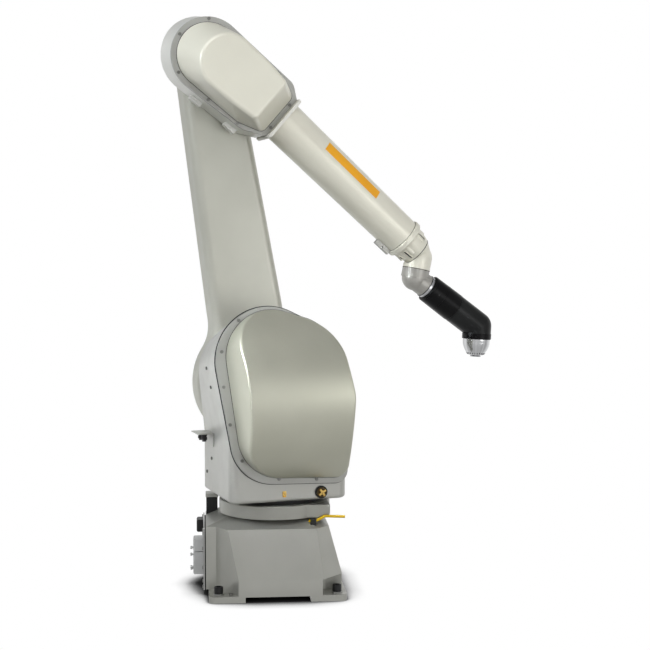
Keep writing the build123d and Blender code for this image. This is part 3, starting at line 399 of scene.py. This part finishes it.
def turned_metal(name, tone, shade, rough, place):
    made = bpy.data.materials.new(name)
    made.use_nodes = True
    inner = made.node_tree
    shader = inner.nodes["Principled BSDF"]
    point = node(inner, "ShaderNodeTexCoord").outputs["Object"]
    local = node(inner, "ShaderNodeMapping", {"Vector": point}, vector_type="TEXTURE")
    local.inputs["Location"].default_value = place.to_translation()
    local.inputs["Rotation"].default_value = place.to_euler()
    marks = node(inner, "ShaderNodeGroup", node_tree=lathe_marks)
    marks.inputs["Pitch"].default_value = LATHE_PITCH
    inner.links.new(local.outputs[0], marks.inputs["Vector"])
    # The tone darkens towards the shade along the streaks; on the air cap this is a painted reflection.
    tint = node(inner, "ShaderNodeMixRGB",
                {"Fac": marks.outputs["Streaks"], "Color1": tone, "Color2": shade})
    span = node(inner, "ShaderNodeMapRange",
                {"Value": marks.outputs["Streaks"], "From Min": 0.3, "From Max": 0.7,
                 "To Min": rough, "To Max": rough + LATHE_DRIFT})
    bump = node(inner, "ShaderNodeBump",
                {"Height": marks.outputs["Rings"], "Strength": LATHE_DEPTH, "Distance": LATHE_HEIGHT})
    inner.links.new(tint.outputs[0], shader.inputs["Base Color"])
    inner.links.new(span.outputs[0], shader.inputs["Roughness"])
    inner.links.new(bump.outputs[0], shader.inputs["Normal"])
    shader.inputs["Metallic"].default_value = 1.0
    return made


across_arm = arm @ turn(90, "Z")
upward = turn(-90, "Y")
# The air cap's dark shade makes painted reflection streaks round the bright cap.
cap_metal = turned_metal("cap_metal", srgb(248, 249, 250), srgb(140, 141, 143), 0.16, nose)
ring_metal = turned_metal("ring_metal", srgb(205, 206, 208), srgb(180, 181, 183), 0.24, tool)
disc_metal = turned_metal("disc_metal", srgb(170, 170, 168), srgb(140, 140, 138), 0.30, across_arm)
upright_metal = turned_metal("upright_metal", srgb(196, 196, 194), srgb(160, 160, 158), 0.28, upward)
cast_metal = paint("cast_metal", srgb(216, 217, 216), srgb(192, 193, 193), 0.70, 0.42, 240.0, 0.30)
brass = turned_metal("brass", srgb(240, 208, 130), srgb(208, 168, 88), 0.28, across_arm)
bronze = paint("bronze", srgb(84, 72, 48), srgb(64, 54, 36), 0.7, 0.42, 300.0, 0.1)
metals = (cap_metal, ring_metal, disc_metal, upright_metal, cast_metal, brass, bronze)
print("metals", [metal.name for metal in metals])

# %% [markdown]
# ## Soft edges
# Where a CAD solid has no fillet its edges are perfectly sharp, and a perfectly sharp edge never catches
# the light. Each painted casting is copied, its loose triangles are joined, flat areas are dissolved into
# single faces, and the crisp edges get a narrow two-step bevel. Weighted normals then keep the flats flat
# while the rounding shades smoothly.

# %% Helpers for pieces
SMOOTH_ANGLE = math.radians(32)
CRISP_ANGLE = math.radians(38)
FLAT_ANGLE = math.radians(0.4)
WELD = 0.00001
body_of_node = {n: body for body, names in record["behaviour"]["bodies"].items() for n in names}
slot_of_node = {part["node"]: part["material_slot"] for part in record["subparts"]}


def piece(bm, name, body, slot, *materials):
    mesh = bpy.data.meshes.new(name)
    bm.to_mesh(mesh)
    bm.free()
    for material in materials:
        mesh.materials.append(material)
    made = bpy.data.objects.new(name, mesh)
    scene.collection.objects.link(made)
    mesh.shade_smooth()
    mesh.set_sharp_from_angle(angle=SMOOTH_ANGLE)
    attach(made, body)
    return made


def weigh_normals(made):
    weighted = made.modifiers.new("weighted", "WEIGHTED_NORMAL")
    weighted.keep_sharp = True
    return made


def soften(name, material, width):
    bm = bmesh.new()
    bm.from_mesh(nodes[name].data)
    bmesh.ops.remove_doubles(bm, verts=bm.verts[:], dist=WELD)
    bmesh.ops.dissolve_limit(bm, angle_limit=FLAT_ANGLE, verts=bm.verts[:], edges=bm.edges[:])
    for face in bm.faces:
        face.material_index = 0
    sharp = [e for e in bm.edges if len(e.link_faces) == 2 and e.calc_face_angle() > CRISP_ANGLE]
    bmesh.ops.bevel(bm, geom=sharp, offset=width, offset_type="OFFSET", affect="EDGES", segments=2,
                    profile=0.5, material=-1, clamp_overlap=True)
    made = piece(bm, name + "_dressed", body_of_node[name], slot_of_node[name], material)
    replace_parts(made, name)
    return weigh_normals(made)


def coat(name, material):
    mesh = nodes[name].data
    mesh.materials.clear()
    mesh.materials.append(material)


print("pieces can ride on", sorted(set(body_of_node.values())))

# %% [markdown]
# ## Castings and covers
# The big parts need no new shapes, only their coats. The base is a little duller than the shoulder, the
# domed drive cover and the ring under it have the most metal flake of the greys, and the forearm is the
# palest part of the robot. Each row of the first list gives a finish, the width of the softened edge and
# the solids that wear it. The solids in the second list keep their sharp edges and only change their
# material.

# %% Coats
PAINTED = (
    (base_grey, 0.003, ("base_casting", "limit_box_lid")),
    (ring_silver, 0.002, ("j1_ring",)),
    (shoulder_grey, 0.002, ("shoulder_housing", "cable_bracket")),
    (cover_silver, 0.002, ("shoulder_cover",)),
    (arm_silver, 0.003, ("inner_arm", "arm_lower_cap", "arm_upper_cap")),
    (casting_silver, 0.002, ("elbow_casting",)),
    (casting_silver, 0.001, ("elbow_tabs",)),
    (ivory, 0.002, ("elbow_cover", "forearm_tube", "wrist_collar", "wrist_base", "wrist_elbow")),
    (flange_grey, 0.0015, ("elbow_flange", "shoulder_flange", "tube_lug")),
    (enamel, 0.002, ("end_plate",)),
    (box_black, 0.002, ("panel_box", "limit_box", "lever_clamp")),
    (cast_metal, 0.002, ("upper_connector", "lower_connector")),
    (cast_grey, 0.002, ("wrist_adapter",)),
    (signal_yellow, 0.0008, ("stop_lever",)),
    (nose_black, 0.0015, ("atomizer_front",)),
    (satin_black, 0.0015, ("nose_ring",)),
)
BARE = (
    (oiled_steel, ("turntable", "purge_seat")),
    (upright_metal, ("connector_panel",)),
    (rubber_black, ("panel_gasket",)),
    (disc_metal, ("j2_disc", "j3_disc")),
    (ring_metal, ("tool_ring",)),
    (cap_metal, ("bell_cup",)),
)
dressed = {}
for material, width, names in PAINTED:
    for name in names:
        dressed[name] = soften(name, material, width)
for material, names in BARE:
    for name in names:
        coat(name, material)
print("softened", len(dressed), "of", len(nodes), "solids")

# %% [markdown]
# The two lifting tabs under the elbow are thin plates. Their solids reach a little farther than the
# photograph shows, so the shown copies are pressed flatter, each towards its own root on the casting.
# Moving the points of the finished copy keeps its soft edges.

# %% Elbow tabs
TAB_SPLIT = 0.15
TAB_ROOTS = (-0.1788, -0.1603)
TAB_PRESS = 0.68
raised = 0.0
for vert in dressed["elbow_tabs"].data.vertices:
    spot = forearm.inverted() @ vert.co
    root = TAB_ROOTS[int(spot.x > TAB_SPLIT)]
    pressed = root + (spot.z - root) * TAB_PRESS
    raised = max(raised, pressed - spot.z)
    spot.z = pressed
    vert.co = forearm @ spot
print("tabs end", round(raised * 1000), "mm nearer to the casting")

# %% [markdown]
# ## Screws
# Socket-head screws hold every flange. One head is modelled at the origin, from a cone tool with equal
# radii whose top face is inset, pulled to a hexagon and pushed down for the key. Copies of it are then
# stamped where a ray meets the casting, which seats each head square on the real surface.

# %% Screw head and seats
KEY_INSET_SHARE = 0.35
KEY_REACH_SHARE = 0.52
KEY_DEPTH_SHARE = 0.6
HEAD_EDGE_SHARE = 0.12
SMALL_HEAD = (0.0075, 0.005)
SIXTH = math.radians(60)


def template(bm, name):
    mesh = bpy.data.meshes.new(name)
    bm.to_mesh(mesh)
    bm.free()
    return mesh


def top_face(bm):
    return max(bm.faces, key=lambda face: face.calc_center_median().z)


def socket_head(radius, height):
    bm = bmesh.new()
    bmesh.ops.create_cone(bm, cap_ends=True, segments=24, radius1=radius, radius2=radius, depth=height)
    bmesh.ops.translate(bm, verts=bm.verts[:], vec=(0, 0, height / 2))
    top = top_face(bm)
    rim = list(top.edges)
    bmesh.ops.inset_region(bm, faces=[top], thickness=radius * KEY_INSET_SHARE)
    for vert in top.verts:
        lean = math.atan2(vert.co.y, vert.co.x) % SIXTH - SIXTH / 2
        reach = radius * KEY_REACH_SHARE / math.cos(lean)
        vert.co.xy = vert.co.xy.normalized() * reach
    sunk = bmesh.ops.extrude_discrete_faces(bm, faces=[top])["faces"][0]
    bmesh.ops.translate(bm, verts=sunk.verts[:], vec=(0, 0, -height * KEY_DEPTH_SHARE))
    bmesh.ops.bevel(bm, geom=rim, offset=radius * HEAD_EDGE_SHARE, affect="EDGES", segments=2, profile=0.5,
                    material=-1)
    return template(bm, "socket_head")


trees = {}


def seat(name, start, way, along=(1, 0, 0)):
    if name not in trees:
        mesh = nodes[name].data
        corners = [v.co for v in mesh.vertices]
        trees[name] = BVHTree.FromPolygons(corners, [p.vertices for p in mesh.polygons])
    point, normal, _, _ = trees[name].ray_cast(Vector(start), Vector(way))
    if point is None:
        raise ValueError("no seat on " + name)
    side = normal.cross(Vector(along)).normalized()
    axes = Matrix((side.cross(normal), side, normal)).transposed().to_4x4()
    return Matrix.Translation(point) @ axes


def add_copy(bm, mesh, place):
    first = len(bm.verts)
    bm.from_mesh(mesh)
    bm.verts.ensure_lookup_table()
    bmesh.ops.transform(bm, matrix=place, verts=bm.verts[first:])


def stamp(head, places, name, body, slot, material):
    bm = bmesh.new()
    for place in places:
        add_copy(bm, head, place)
    print(name, "x", len(places))
    return piece(bm, name, body, slot, material)


small_head = socket_head(*SMALL_HEAD)
print("a screw head has", len(small_head.polygons), "faces")

# %% [markdown]
# The seats are given in each link's own frame: along and up the drive flanges on the near side, round a
# circle on the far-side caps, and a few on the upright wall of the shoulder. Each ray starts well outside
# the part and runs square to the face it should meet.

# %% Flange screws
SHOULDER_HEIGHT = 0.905
NEAR_SIDE = -1.0
FAR_SIDE = 1.0
WALL_RAY_X = -0.9
UPRIGHT = (0, 0, 1)
LOWER_RING = 0.185
LOWER_COUNT = 10
UPPER_RING = 0.098
UPPER_COUNT = 8


def across(link, name, spots, side):
    way = link.to_3x3() @ Vector((0, -side, 0))
    return [seat(name, link @ Vector((x, side, z)), way) for x, z in spots]


def circle(centre_x, centre_z, radius, count):
    steps = [2 * math.pi * (i + 0.5) / count for i in range(count)]
    return [(centre_x + radius * math.cos(a), centre_z + radius * math.sin(a)) for a in steps]


elbow_spots = [(-0.205, -0.046), (-0.099, -0.175), (0.077, -0.173), (0.244, -0.156), (0.368, -0.066),
               (0.368, 0.070), (-0.155, 0.097)]
elbow_seats = across(forearm, "elbow_flange", elbow_spots, NEAR_SIDE)
stamp(small_head, elbow_seats, "elbow_screws", "forearm", "machined_steel", zinc_grey)
shoulder_spots = [(-0.315, 1.089), (-0.307, 0.937), (-0.279, 0.774), (-0.226, 0.615), (-0.059, 0.527),
                  (0.114, 0.517), (0.255, 0.700), (0.262, 0.860), (0.215, 1.090), (-0.240, 1.222)]
shoulder_seats = across(arm, "shoulder_flange", shoulder_spots, NEAR_SIDE)
stamp(small_head, shoulder_seats, "shoulder_screws", "shoulder", "machined_steel", zinc_grey)
lower_spots = circle(0.0, SHOULDER_HEIGHT, LOWER_RING, LOWER_COUNT)
upper_spots = circle(elbow_point.x, elbow_point.z, UPPER_RING, UPPER_COUNT)
cap_seats = across(arm, "arm_lower_cap", lower_spots, FAR_SIDE)
cap_seats += across(arm, "arm_upper_cap", upper_spots, FAR_SIDE)
stamp(small_head, cap_seats, "cap_screws", "inner_arm_body", "machined_steel", zinc_grey)
wall_way = arm.to_3x3() @ Vector((1, 0, 0))
wall_spots = [(0.075, 0.581), (0.158, 0.509), (-0.012, 0.998), (-0.054, 0.917)]
wall_starts = [arm @ Vector((WALL_RAY_X, y, z)) for y, z in wall_spots]
wall_seats = [seat("shoulder_housing", start, wall_way, UPRIGHT) for start in wall_starts]
stamp(small_head, wall_seats, "wall_screws", "shoulder", "machined_steel", zinc_grey)

# %% [markdown]
# ## Turned parts
# Washers, knobs, plugs, seals and the tool's shells are all round, so they could be stacked from
# cylinders. A lathe makes them from one outline, and so does this helper: a few points, each a radius and
# a height, are spun about Z and then moved to their place.

# %% Turned parts
ORIGIN = Matrix.Identity(4)


def turned(outline, place, steps, closed=False):
    bm = bmesh.new()
    ring = [bm.verts.new((radius, 0, height)) for radius, height in outline]
    edges = [bm.edges.new(pair) for pair in zip(ring, ring[1:])]
    if closed:
        edges.append(bm.edges.new((ring[-1], ring[0])))
    bmesh.ops.spin(bm, geom=ring + edges, cent=(0, 0, 0), axis=(0, 0, 1), angle=2 * math.pi, steps=steps,
                   use_merge=True)
    bmesh.ops.remove_doubles(bm, verts=bm.verts[:], dist=WELD)
    bmesh.ops.recalc_face_normals(bm, faces=bm.faces[:])
    bmesh.ops.transform(bm, matrix=place, verts=bm.verts[:])
    return bm


washer_outline = [(0.014, 0.0), (0.0225, 0.0), (0.0225, 0.005), (0.0215, 0.006), (0.014, 0.006)]
washer = template(turned(washer_outline, ORIGIN, steps=40, closed=True), "washer")
print("a washer has", len(washer.polygons), "faces")

# %% [markdown]
# ## Anchor bolts
# Four black bolts hold the base to the ground, each on a bright thick washer, with a smaller levelling
# screw beside it. The bolt heads are the screw head from above, made larger and deeper.

# %% Anchor bolts
BOLT_X = 0.258
BOLT_Y = 0.285
FOOT_TOP = 0.028
WASHER_TOP = 0.006
ANCHOR_HEAD = (0.0195, 0.030)
LEVEL_HEAD = (0.007, 0.010)
RAY_TOP = 0.5
bolt_feet = [shift(x, y, FOOT_TOP) for x in (-BOLT_X, BOLT_X) for y in (-BOLT_Y, BOLT_Y)]
stamp(washer, bolt_feet, "anchor_washers", "base", "machined_steel", upright_metal)
bolt_seats = [place @ shift(0, 0, WASHER_TOP) for place in bolt_feet]
stamp(socket_head(*ANCHOR_HEAD), bolt_seats, "anchor_bolts", "base", "black_box", box_black)
level_spots = [(0.244, -0.318), (-0.205, -0.300), (0.244, 0.318), (-0.205, 0.300)]
level_seats = [seat("base_casting", (x, y, RAY_TOP), (0, 0, -1)) for x, y in level_spots]
stamp(socket_head(*LEVEL_HEAD), level_seats, "level_screws", "base", "machined_steel", zinc_grey)

# %% [markdown]
# ## Connector panel
# The cables come in at the side of the base, through two cast connector housings on a steel plate. Each
# housing is closed by small thumb screws, and the plate by a row of screws along its edges. The thumb
# screws are turned like the washers, with a thin neck under the grip.

# %% Connector panel
PANEL_RAY_X = -0.6
INWARD = (1, 0, 0)
PANEL_FOOT = 0.035


def panel_seat(name, y, z):
    return seat(name, (PANEL_RAY_X, y, z), INWARD, UPRIGHT)


knob_outline = [(0.0, 0.0), (0.004, 0.0), (0.004, 0.004), (0.0065, 0.0045), (0.0070, 0.0055),
                (0.0070, 0.0120), (0.0060, 0.0130), (0.0, 0.0130)]
knob = template(turned(knob_outline, ORIGIN, steps=20), "knob")
knob_seats = [panel_seat("upper_connector", 0.012, 0.173)]
knob_spots = [(0.012, 0.142), (0.012, 0.084), (0.078, 0.062)]
knob_seats += [panel_seat("lower_connector", y, z) for y, z in knob_spots]
stamp(knob, knob_seats, "thumb_screws", "base", "connector_metal", cast_metal)
panel_spots = [(y, z) for y in (-0.160, 0.160) for z in (PANEL_FOOT, 0.120, 0.205, 0.288)]
panel_spots += [(y, PANEL_FOOT) for y in (-0.055, 0.110)]
panel_seats = [panel_seat("connector_panel", y, z) for y, z in panel_spots]
stamp(small_head, panel_seats, "panel_screws", "base", "machined_steel", zinc_grey)

# %% [markdown]
# Under the bracket on the shoulder wall hang two black cable plugs. A stepped outline gives them their
# nut, neck and gland, where a plain rod would look like a peg.

# %% Bracket plugs
BRACKET_X = -0.310
BRACKET_FOOT = 0.694
plug_outline = [(0.0, 0.0), (0.014, 0.0), (0.014, -0.007), (0.0115, -0.008), (0.0115, -0.014),
                (0.0138, -0.015), (0.0138, -0.026), (0.0095, -0.028), (0.0095, -0.034), (0.0, -0.034)]
plug = template(turned(plug_outline, ORIGIN, steps=24), "plug")
plug_places = [arm @ shift(BRACKET_X, y, BRACKET_FOOT) for y in (0.067, 0.125)]
plugs = stamp(plug, plug_places, "bracket_plugs", "shoulder", "black_box", box_black)
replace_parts(plugs, "bracket_connectors")

# %% [markdown]
# ## Purge plug and earth terminal
# Two small fittings sit on the front of the shoulder. The purge plug is a turned bronze cup with a brass
# key in the form of a cross, and the earth terminal is a brass clamp with a nut and a small amber tag.
# The cross is two bevelled bars, one turned by a right angle.

# %% Brass fittings
FRONT_WALL = -0.240
FITTING_HEIGHT = 0.456
PURGE_X = 0.140
EARTH_X = -0.030
CROSS_TURNS = (35, 125)
CROSS_BAR = (0.037, 0.0095, 0.016)
CROSS_LIFT = 0.015
CROSS_EDGE = 0.001
CLAMP_PLATE = (0.017, 0.026, 0.004)
CLAMP_LIFT = 0.002
CLAMP_EDGE = 0.0008
NUT_RADIUS = 0.0085
NUT_HEIGHT = 0.006
NUT_LIFT = 0.007
TAG_PLATE = (0.011, 0.008, 0.003)
TAG_DROP = -0.008
TAG_LIFT = 0.0055
TAG_EDGE = 0.0006


def on_front(x):
    return arm @ shift(x, FRONT_WALL, FITTING_HEIGHT) @ turn(90, "X")


def bar(bm, size, place, edge):
    made = bmesh.ops.create_cube(bm, size=1.0)["verts"]
    bmesh.ops.scale(bm, vec=size, verts=made)
    sides = list({e for v in made for e in v.link_edges})
    grown = bmesh.ops.bevel(bm, geom=sides, offset=edge, affect="EDGES", segments=2, profile=0.5,
                            material=-1)
    whole = list({v for f in grown["faces"] for v in f.verts})
    bmesh.ops.transform(bm, matrix=place, verts=whole)


purge_side = on_front(PURGE_X)
cup_outline = [(0.0, 0.007), (0.0225, 0.007), (0.0225, 0.0110), (0.0210, 0.0120), (0.0180, 0.0120),
               (0.0170, 0.0085), (0.0, 0.0085)]
cup = turned(cup_outline, purge_side, steps=40)
for face in cup.faces:
    face.material_index = 1
for degrees in CROSS_TURNS:
    bar(cup, CROSS_BAR, purge_side @ shift(0, 0, CROSS_LIFT) @ turn(degrees, "Z"), CROSS_EDGE)
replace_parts(piece(cup, "purge_plug", "shoulder", "brass", brass, bronze), "purge_fitting")
earth_side = on_front(EARTH_X)
stud_outline = [(0.0, 0.0), (0.0045, 0.0), (0.0045, 0.0150), (0.0035, 0.0160), (0.0, 0.0160)]
stud = turned(stud_outline, earth_side, steps=20)
bar(stud, CLAMP_PLATE, earth_side @ shift(0, 0, CLAMP_LIFT), CLAMP_EDGE)
bmesh.ops.create_cone(stud, cap_ends=True, segments=6, radius1=NUT_RADIUS, radius2=NUT_RADIUS,
                      depth=NUT_HEIGHT, matrix=earth_side @ shift(0, 0, NUT_LIFT))
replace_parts(piece(stud, "earth_stud", "shoulder", "brass", brass), "earth_terminal")
tag = bmesh.new()
bar(tag, TAG_PLATE, earth_side @ shift(0, TAG_DROP, TAG_LIFT), TAG_EDGE)
piece(tag, "earth_tag", "shoulder", "brass", amber_film)
print("front fittings made, the purge plug at", [round(v, 3) for v in purge_side.to_translation()])

# %% [markdown]
# ## Amber strip
# A plain amber film is stuck along the forearm tube. It starts as a flat grid, and every point is then
# rolled round the tapered tube, just above the paint, which is what pressing a real strip on does.

# %% Amber strip
STRIP_MIDDLE = 0.786
STRIP_LENGTH = 0.334
STRIP_SWING = 27
STRIP_SPAN = 29
TUBE_START = 0.395
TUBE_RUN = 0.797
TUBE_RADIUS = 0.099
TUBE_TAPER = 0.008
FILM = 0.0004
strip = bmesh.new()
bmesh.ops.create_grid(strip, x_segments=24, y_segments=10, size=0.5)
for vert in strip.verts:
    x = STRIP_MIDDLE + STRIP_LENGTH * vert.co.x
    swing = math.radians(STRIP_SWING + STRIP_SPAN * vert.co.y)
    radius = TUBE_RADIUS - TUBE_TAPER * (x - TUBE_START) / TUBE_RUN + FILM
    vert.co = tube @ Vector((x, -radius * math.cos(swing), radius * math.sin(swing)))
bmesh.ops.recalc_face_normals(strip, faces=strip.faces[:])
piece(strip, "amber_strip", "forearm", "lever_paint", amber_film)
print("strip is", round(STRIP_LENGTH * 1000), "mm long")

# %% [markdown]
# ## Wrist windows
# The wrist root has raised slotted windows and two short bosses. Each is a short cone stretched into a
# capsule, its top inset and sunk, and the sunken floor gets the dark rubber as painted shade for the dark
# inside of real slots and holes. Cutting real slots would need a boolean for no better look. Each row gives
# the place along the tube, the turn round it, the length and the width.

# %% Wrist windows
WINDOW_HEIGHT = 0.0035
WINDOW_RIM = 0.0028
FLOOR_SHARE = 0.75
RIM_EDGE_SHARE = 0.4
RAY_REACH = 0.4
WINDOWS = (
    (1.256, -45, 0.056, 0.014),
    (1.246, 31, 0.044, 0.013),
    (1.250, -77, 0.024, 0.020),
    (1.256, 135, 0.056, 0.014),
    (1.250, 103, 0.024, 0.020),
)


def window(length, width):
    bm = bmesh.new()
    bmesh.ops.create_cone(bm, cap_ends=True, segments=32, radius1=width / 2, radius2=width / 2,
                          depth=2 * WINDOW_HEIGHT)
    for vert in bm.verts:
        vert.co.x += math.copysign((length - width) / 2, vert.co.x)
    top = top_face(bm)
    edges = list(top.edges)
    bmesh.ops.inset_region(bm, faces=[top], thickness=WINDOW_RIM)
    sunk = bmesh.ops.extrude_discrete_faces(bm, faces=[top])["faces"][0]
    bmesh.ops.translate(bm, verts=sunk.verts[:], vec=Vector((0, 0, -WINDOW_HEIGHT * FLOOR_SHARE)))
    # The dark floor is painted shade for the inside of the slot.
    sunk.material_index = 1
    bmesh.ops.bevel(bm, geom=edges, offset=WINDOW_RIM * RIM_EDGE_SHARE, affect="EDGES", segments=2,
                    profile=0.5, material=-1)
    return template(bm, "window")


def round_tube(link, name, x, degrees):
    swing = math.radians(degrees)
    out = Vector((0, -math.cos(swing), math.sin(swing)))
    start = link @ (Vector((x, 0, 0)) + out * RAY_REACH)
    return seat(name, start, link.to_3x3() @ -out, link.to_3x3() @ Vector((1, 0, 0)))


windows = bmesh.new()
for x, degrees, length, width in WINDOWS:
    add_copy(windows, window(length, width), round_tube(tube, "wrist_base", x, degrees))
piece(windows, "wrist_windows", "forearm", "forearm_paint", ivory, rubber_black)
print("windows x", len(WINDOWS))

# %% [markdown]
# ## Seams
# Where two links turn against each other there is a narrow dark gap with a seal in it. A thin dark band,
# spun about the joint's axis, draws that line; without it the wrist would read as one cast lump. Each row
# gives the seal's name, its body, the frame it is turned in, its place along X, its radius and its width.

# %% Joint seals
SEAL_DEPTH = 0.002
SEALS = (
    ("wrist_seal", "forearm", tube, 1.2955, 0.0726, 0.0030),
    ("bend_seal", "wrist", wrist, 0.0750, 0.0655, 0.0030),
    ("tool_seal", "hand", tool, 0.0690, 0.0570, 0.0024),
    ("collar_seal", "forearm", tube, 1.1925, 0.0922, 0.0030),
)
sideways = turn(90, "Y")
for name, body, link, x, radius, wide in SEALS:
    loop = [(radius - SEAL_DEPTH, x - wide / 2), (radius, x - wide / 2), (radius, x + wide / 2),
            (radius - SEAL_DEPTH, x + wide / 2)]
    band = turned(loop, link @ sideways, steps=64, closed=True)
    piece(band, name, body, "gasket_rubber", rubber_black)
print("seals", [row[0] for row in SEALS])

# %% [markdown]
# Round the feet of the drive covers and the shoulder's flange runs painted shadow: a thin dark band of
# black rubber stands in for the shadow under their edges. A line follows the part's own side walls: only
# the band next to the foot is kept, pushed out a little and thickened, so the line fits however the part
# is shaped.

# %% Painted shadow lines
FACING = 0.9
SHADOW_LINE_WALL = 0.003
FLANGE_SHADOW_LINE = (0.0035, 0.006)
COVER_SHADOW_LINE = (0.0012, 0.002)


def painted_shadow_line(name, link, body, proud, thick):
    bm = bmesh.new()
    bm.from_mesh(nodes[name].data)
    bmesh.ops.remove_doubles(bm, verts=bm.verts[:], dist=WELD)
    bmesh.ops.transform(bm, matrix=link.inverted(), verts=bm.verts[:])
    back = max(v.co.y for v in bm.verts)
    bmesh.ops.bisect_plane(bm, geom=bm.verts[:] + bm.edges[:] + bm.faces[:], plane_co=(0, back - thick, 0),
                           plane_no=(0, -1, 0), clear_outer=True)
    caps = [f for f in bm.faces if abs(f.normal.y) > FACING]
    bmesh.ops.delete(bm, geom=caps, context="FACES")
    bm.normal_update()
    for vert in bm.verts:
        push = Vector((vert.normal.x, 0, vert.normal.z)).normalized()
        vert.co += push * proud
    bmesh.ops.solidify(bm, geom=bm.faces[:], thickness=SHADOW_LINE_WALL)
    bmesh.ops.transform(bm, matrix=link, verts=bm.verts[:])
    # This dark band is painted shadow under the part's edge.
    made = piece(bm, name + "_gasket", body, "gasket_rubber", rubber_black)
    print(made.name, "has", len(made.data.polygons), "faces")


painted_shadow_line("shoulder_flange", arm, "shoulder", *FLANGE_SHADOW_LINE)
painted_shadow_line("elbow_cover", forearm, "forearm", *COVER_SHADOW_LINE)
painted_shadow_line("shoulder_cover", arm, "shoulder", *COVER_SHADOW_LINE)

# %% [markdown]
# ## Atomizer
# The paint is thrown by a bell at the tip of a bent black body. The rear of the body is turned with
# shallow grooves that mark its joints. The air cap is bright metal, and its swelling flank is a straight
# taper with a parabola added, which needs fewer numbers than a list of points.

# %% Atomizer
SET_SCREW_X = 0.128
SET_SCREW_TURNS = (-8, 112, 232)
SET_HEAD = (0.0045, 0.0012)
rear_outline = [(0.0, 0.0832), (0.060, 0.0832), (0.0630, 0.0850), (0.0668, 0.0880), (0.0670, 0.0960),
                (0.0660, 0.0966), (0.0660, 0.0986), (0.0671, 0.0992), (0.0681, 0.1600), (0.0672, 0.1606),
                (0.0672, 0.1622), (0.0682, 0.1628), (0.0694, 0.2460), (0.0690, 0.2485), (0.0675, 0.2500),
                (0.0, 0.2500)]
rear_shape = turned(rear_outline, tool @ sideways, steps=72)
rear = piece(rear_shape, "atomizer_shell", "tool", "tool_black", satin_black)
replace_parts(rear, "atomizer_rear")
set_seats = [round_tube(tool, "atomizer_rear", SET_SCREW_X, degrees) for degrees in SET_SCREW_TURNS]
stamp(socket_head(*SET_HEAD), set_seats, "set_screws", "tool", "tool_black", box_black)
CAP_FOOT = 0.074
CAP_RUN = 0.066
CAP_RADIUS = 0.066
CAP_TAPER = 0.029
CAP_SWELL = 0.007
CAP_STEPS = 9
cap_outline = [(0.0, 0.0622), (0.0640, 0.0622), (0.0660, 0.0632), (0.0660, 0.0735), (0.0655, 0.0750)]
for step in range(1, CAP_STEPS):
    share = step / CAP_STEPS
    swell = 4 * CAP_SWELL * share * (1 - share)
    cap_outline.append((CAP_RADIUS - CAP_TAPER * share + swell, CAP_FOOT + CAP_RUN * step / CAP_STEPS))
cap_outline += [(0.0372, 0.1396), (0.0362, 0.1400), (0.0, 0.1400)]
cap_shape = turned(cap_outline, nose @ sideways, steps=96)
cap = piece(cap_shape, "air_cap_turned", "tool", "bright_aluminium", cap_metal)
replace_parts(cap, "air_cap")
print("shell and cap have", len(rear.data.polygons), "and", len(cap.data.polygons), "faces")

# %% [markdown]
# The slots near the tip are flat dark capsules, stamped round the cap where a ray meets its flank; their
# dark is painted shade for the inside of real slots. They are so narrow that cutting real ones would show
# no more.

# %% Air slots
SLIT_COUNT = 24
SLIT_X = 0.1335
SLIT_RADIUS = 0.0014
SLIT_THICK = 0.0008
SLIT_STRETCH = 0.0035
slit = bmesh.new()
bmesh.ops.create_cone(slit, cap_ends=True, segments=12, radius1=SLIT_RADIUS, radius2=SLIT_RADIUS,
                      depth=SLIT_THICK)
for vert in slit.verts:
    vert.co.x += math.copysign(SLIT_STRETCH, vert.co.x)
slit_mesh = template(slit, "slit")
slit_seats = [round_tube(nose, "air_cap", SLIT_X, 360 * i / SLIT_COUNT) for i in range(SLIT_COUNT)]
# Dark rubber capsules: painted shade where the slots open.
stamp(slit_mesh, slit_seats, "air_slots", "tool", "tool_black", rubber_black)
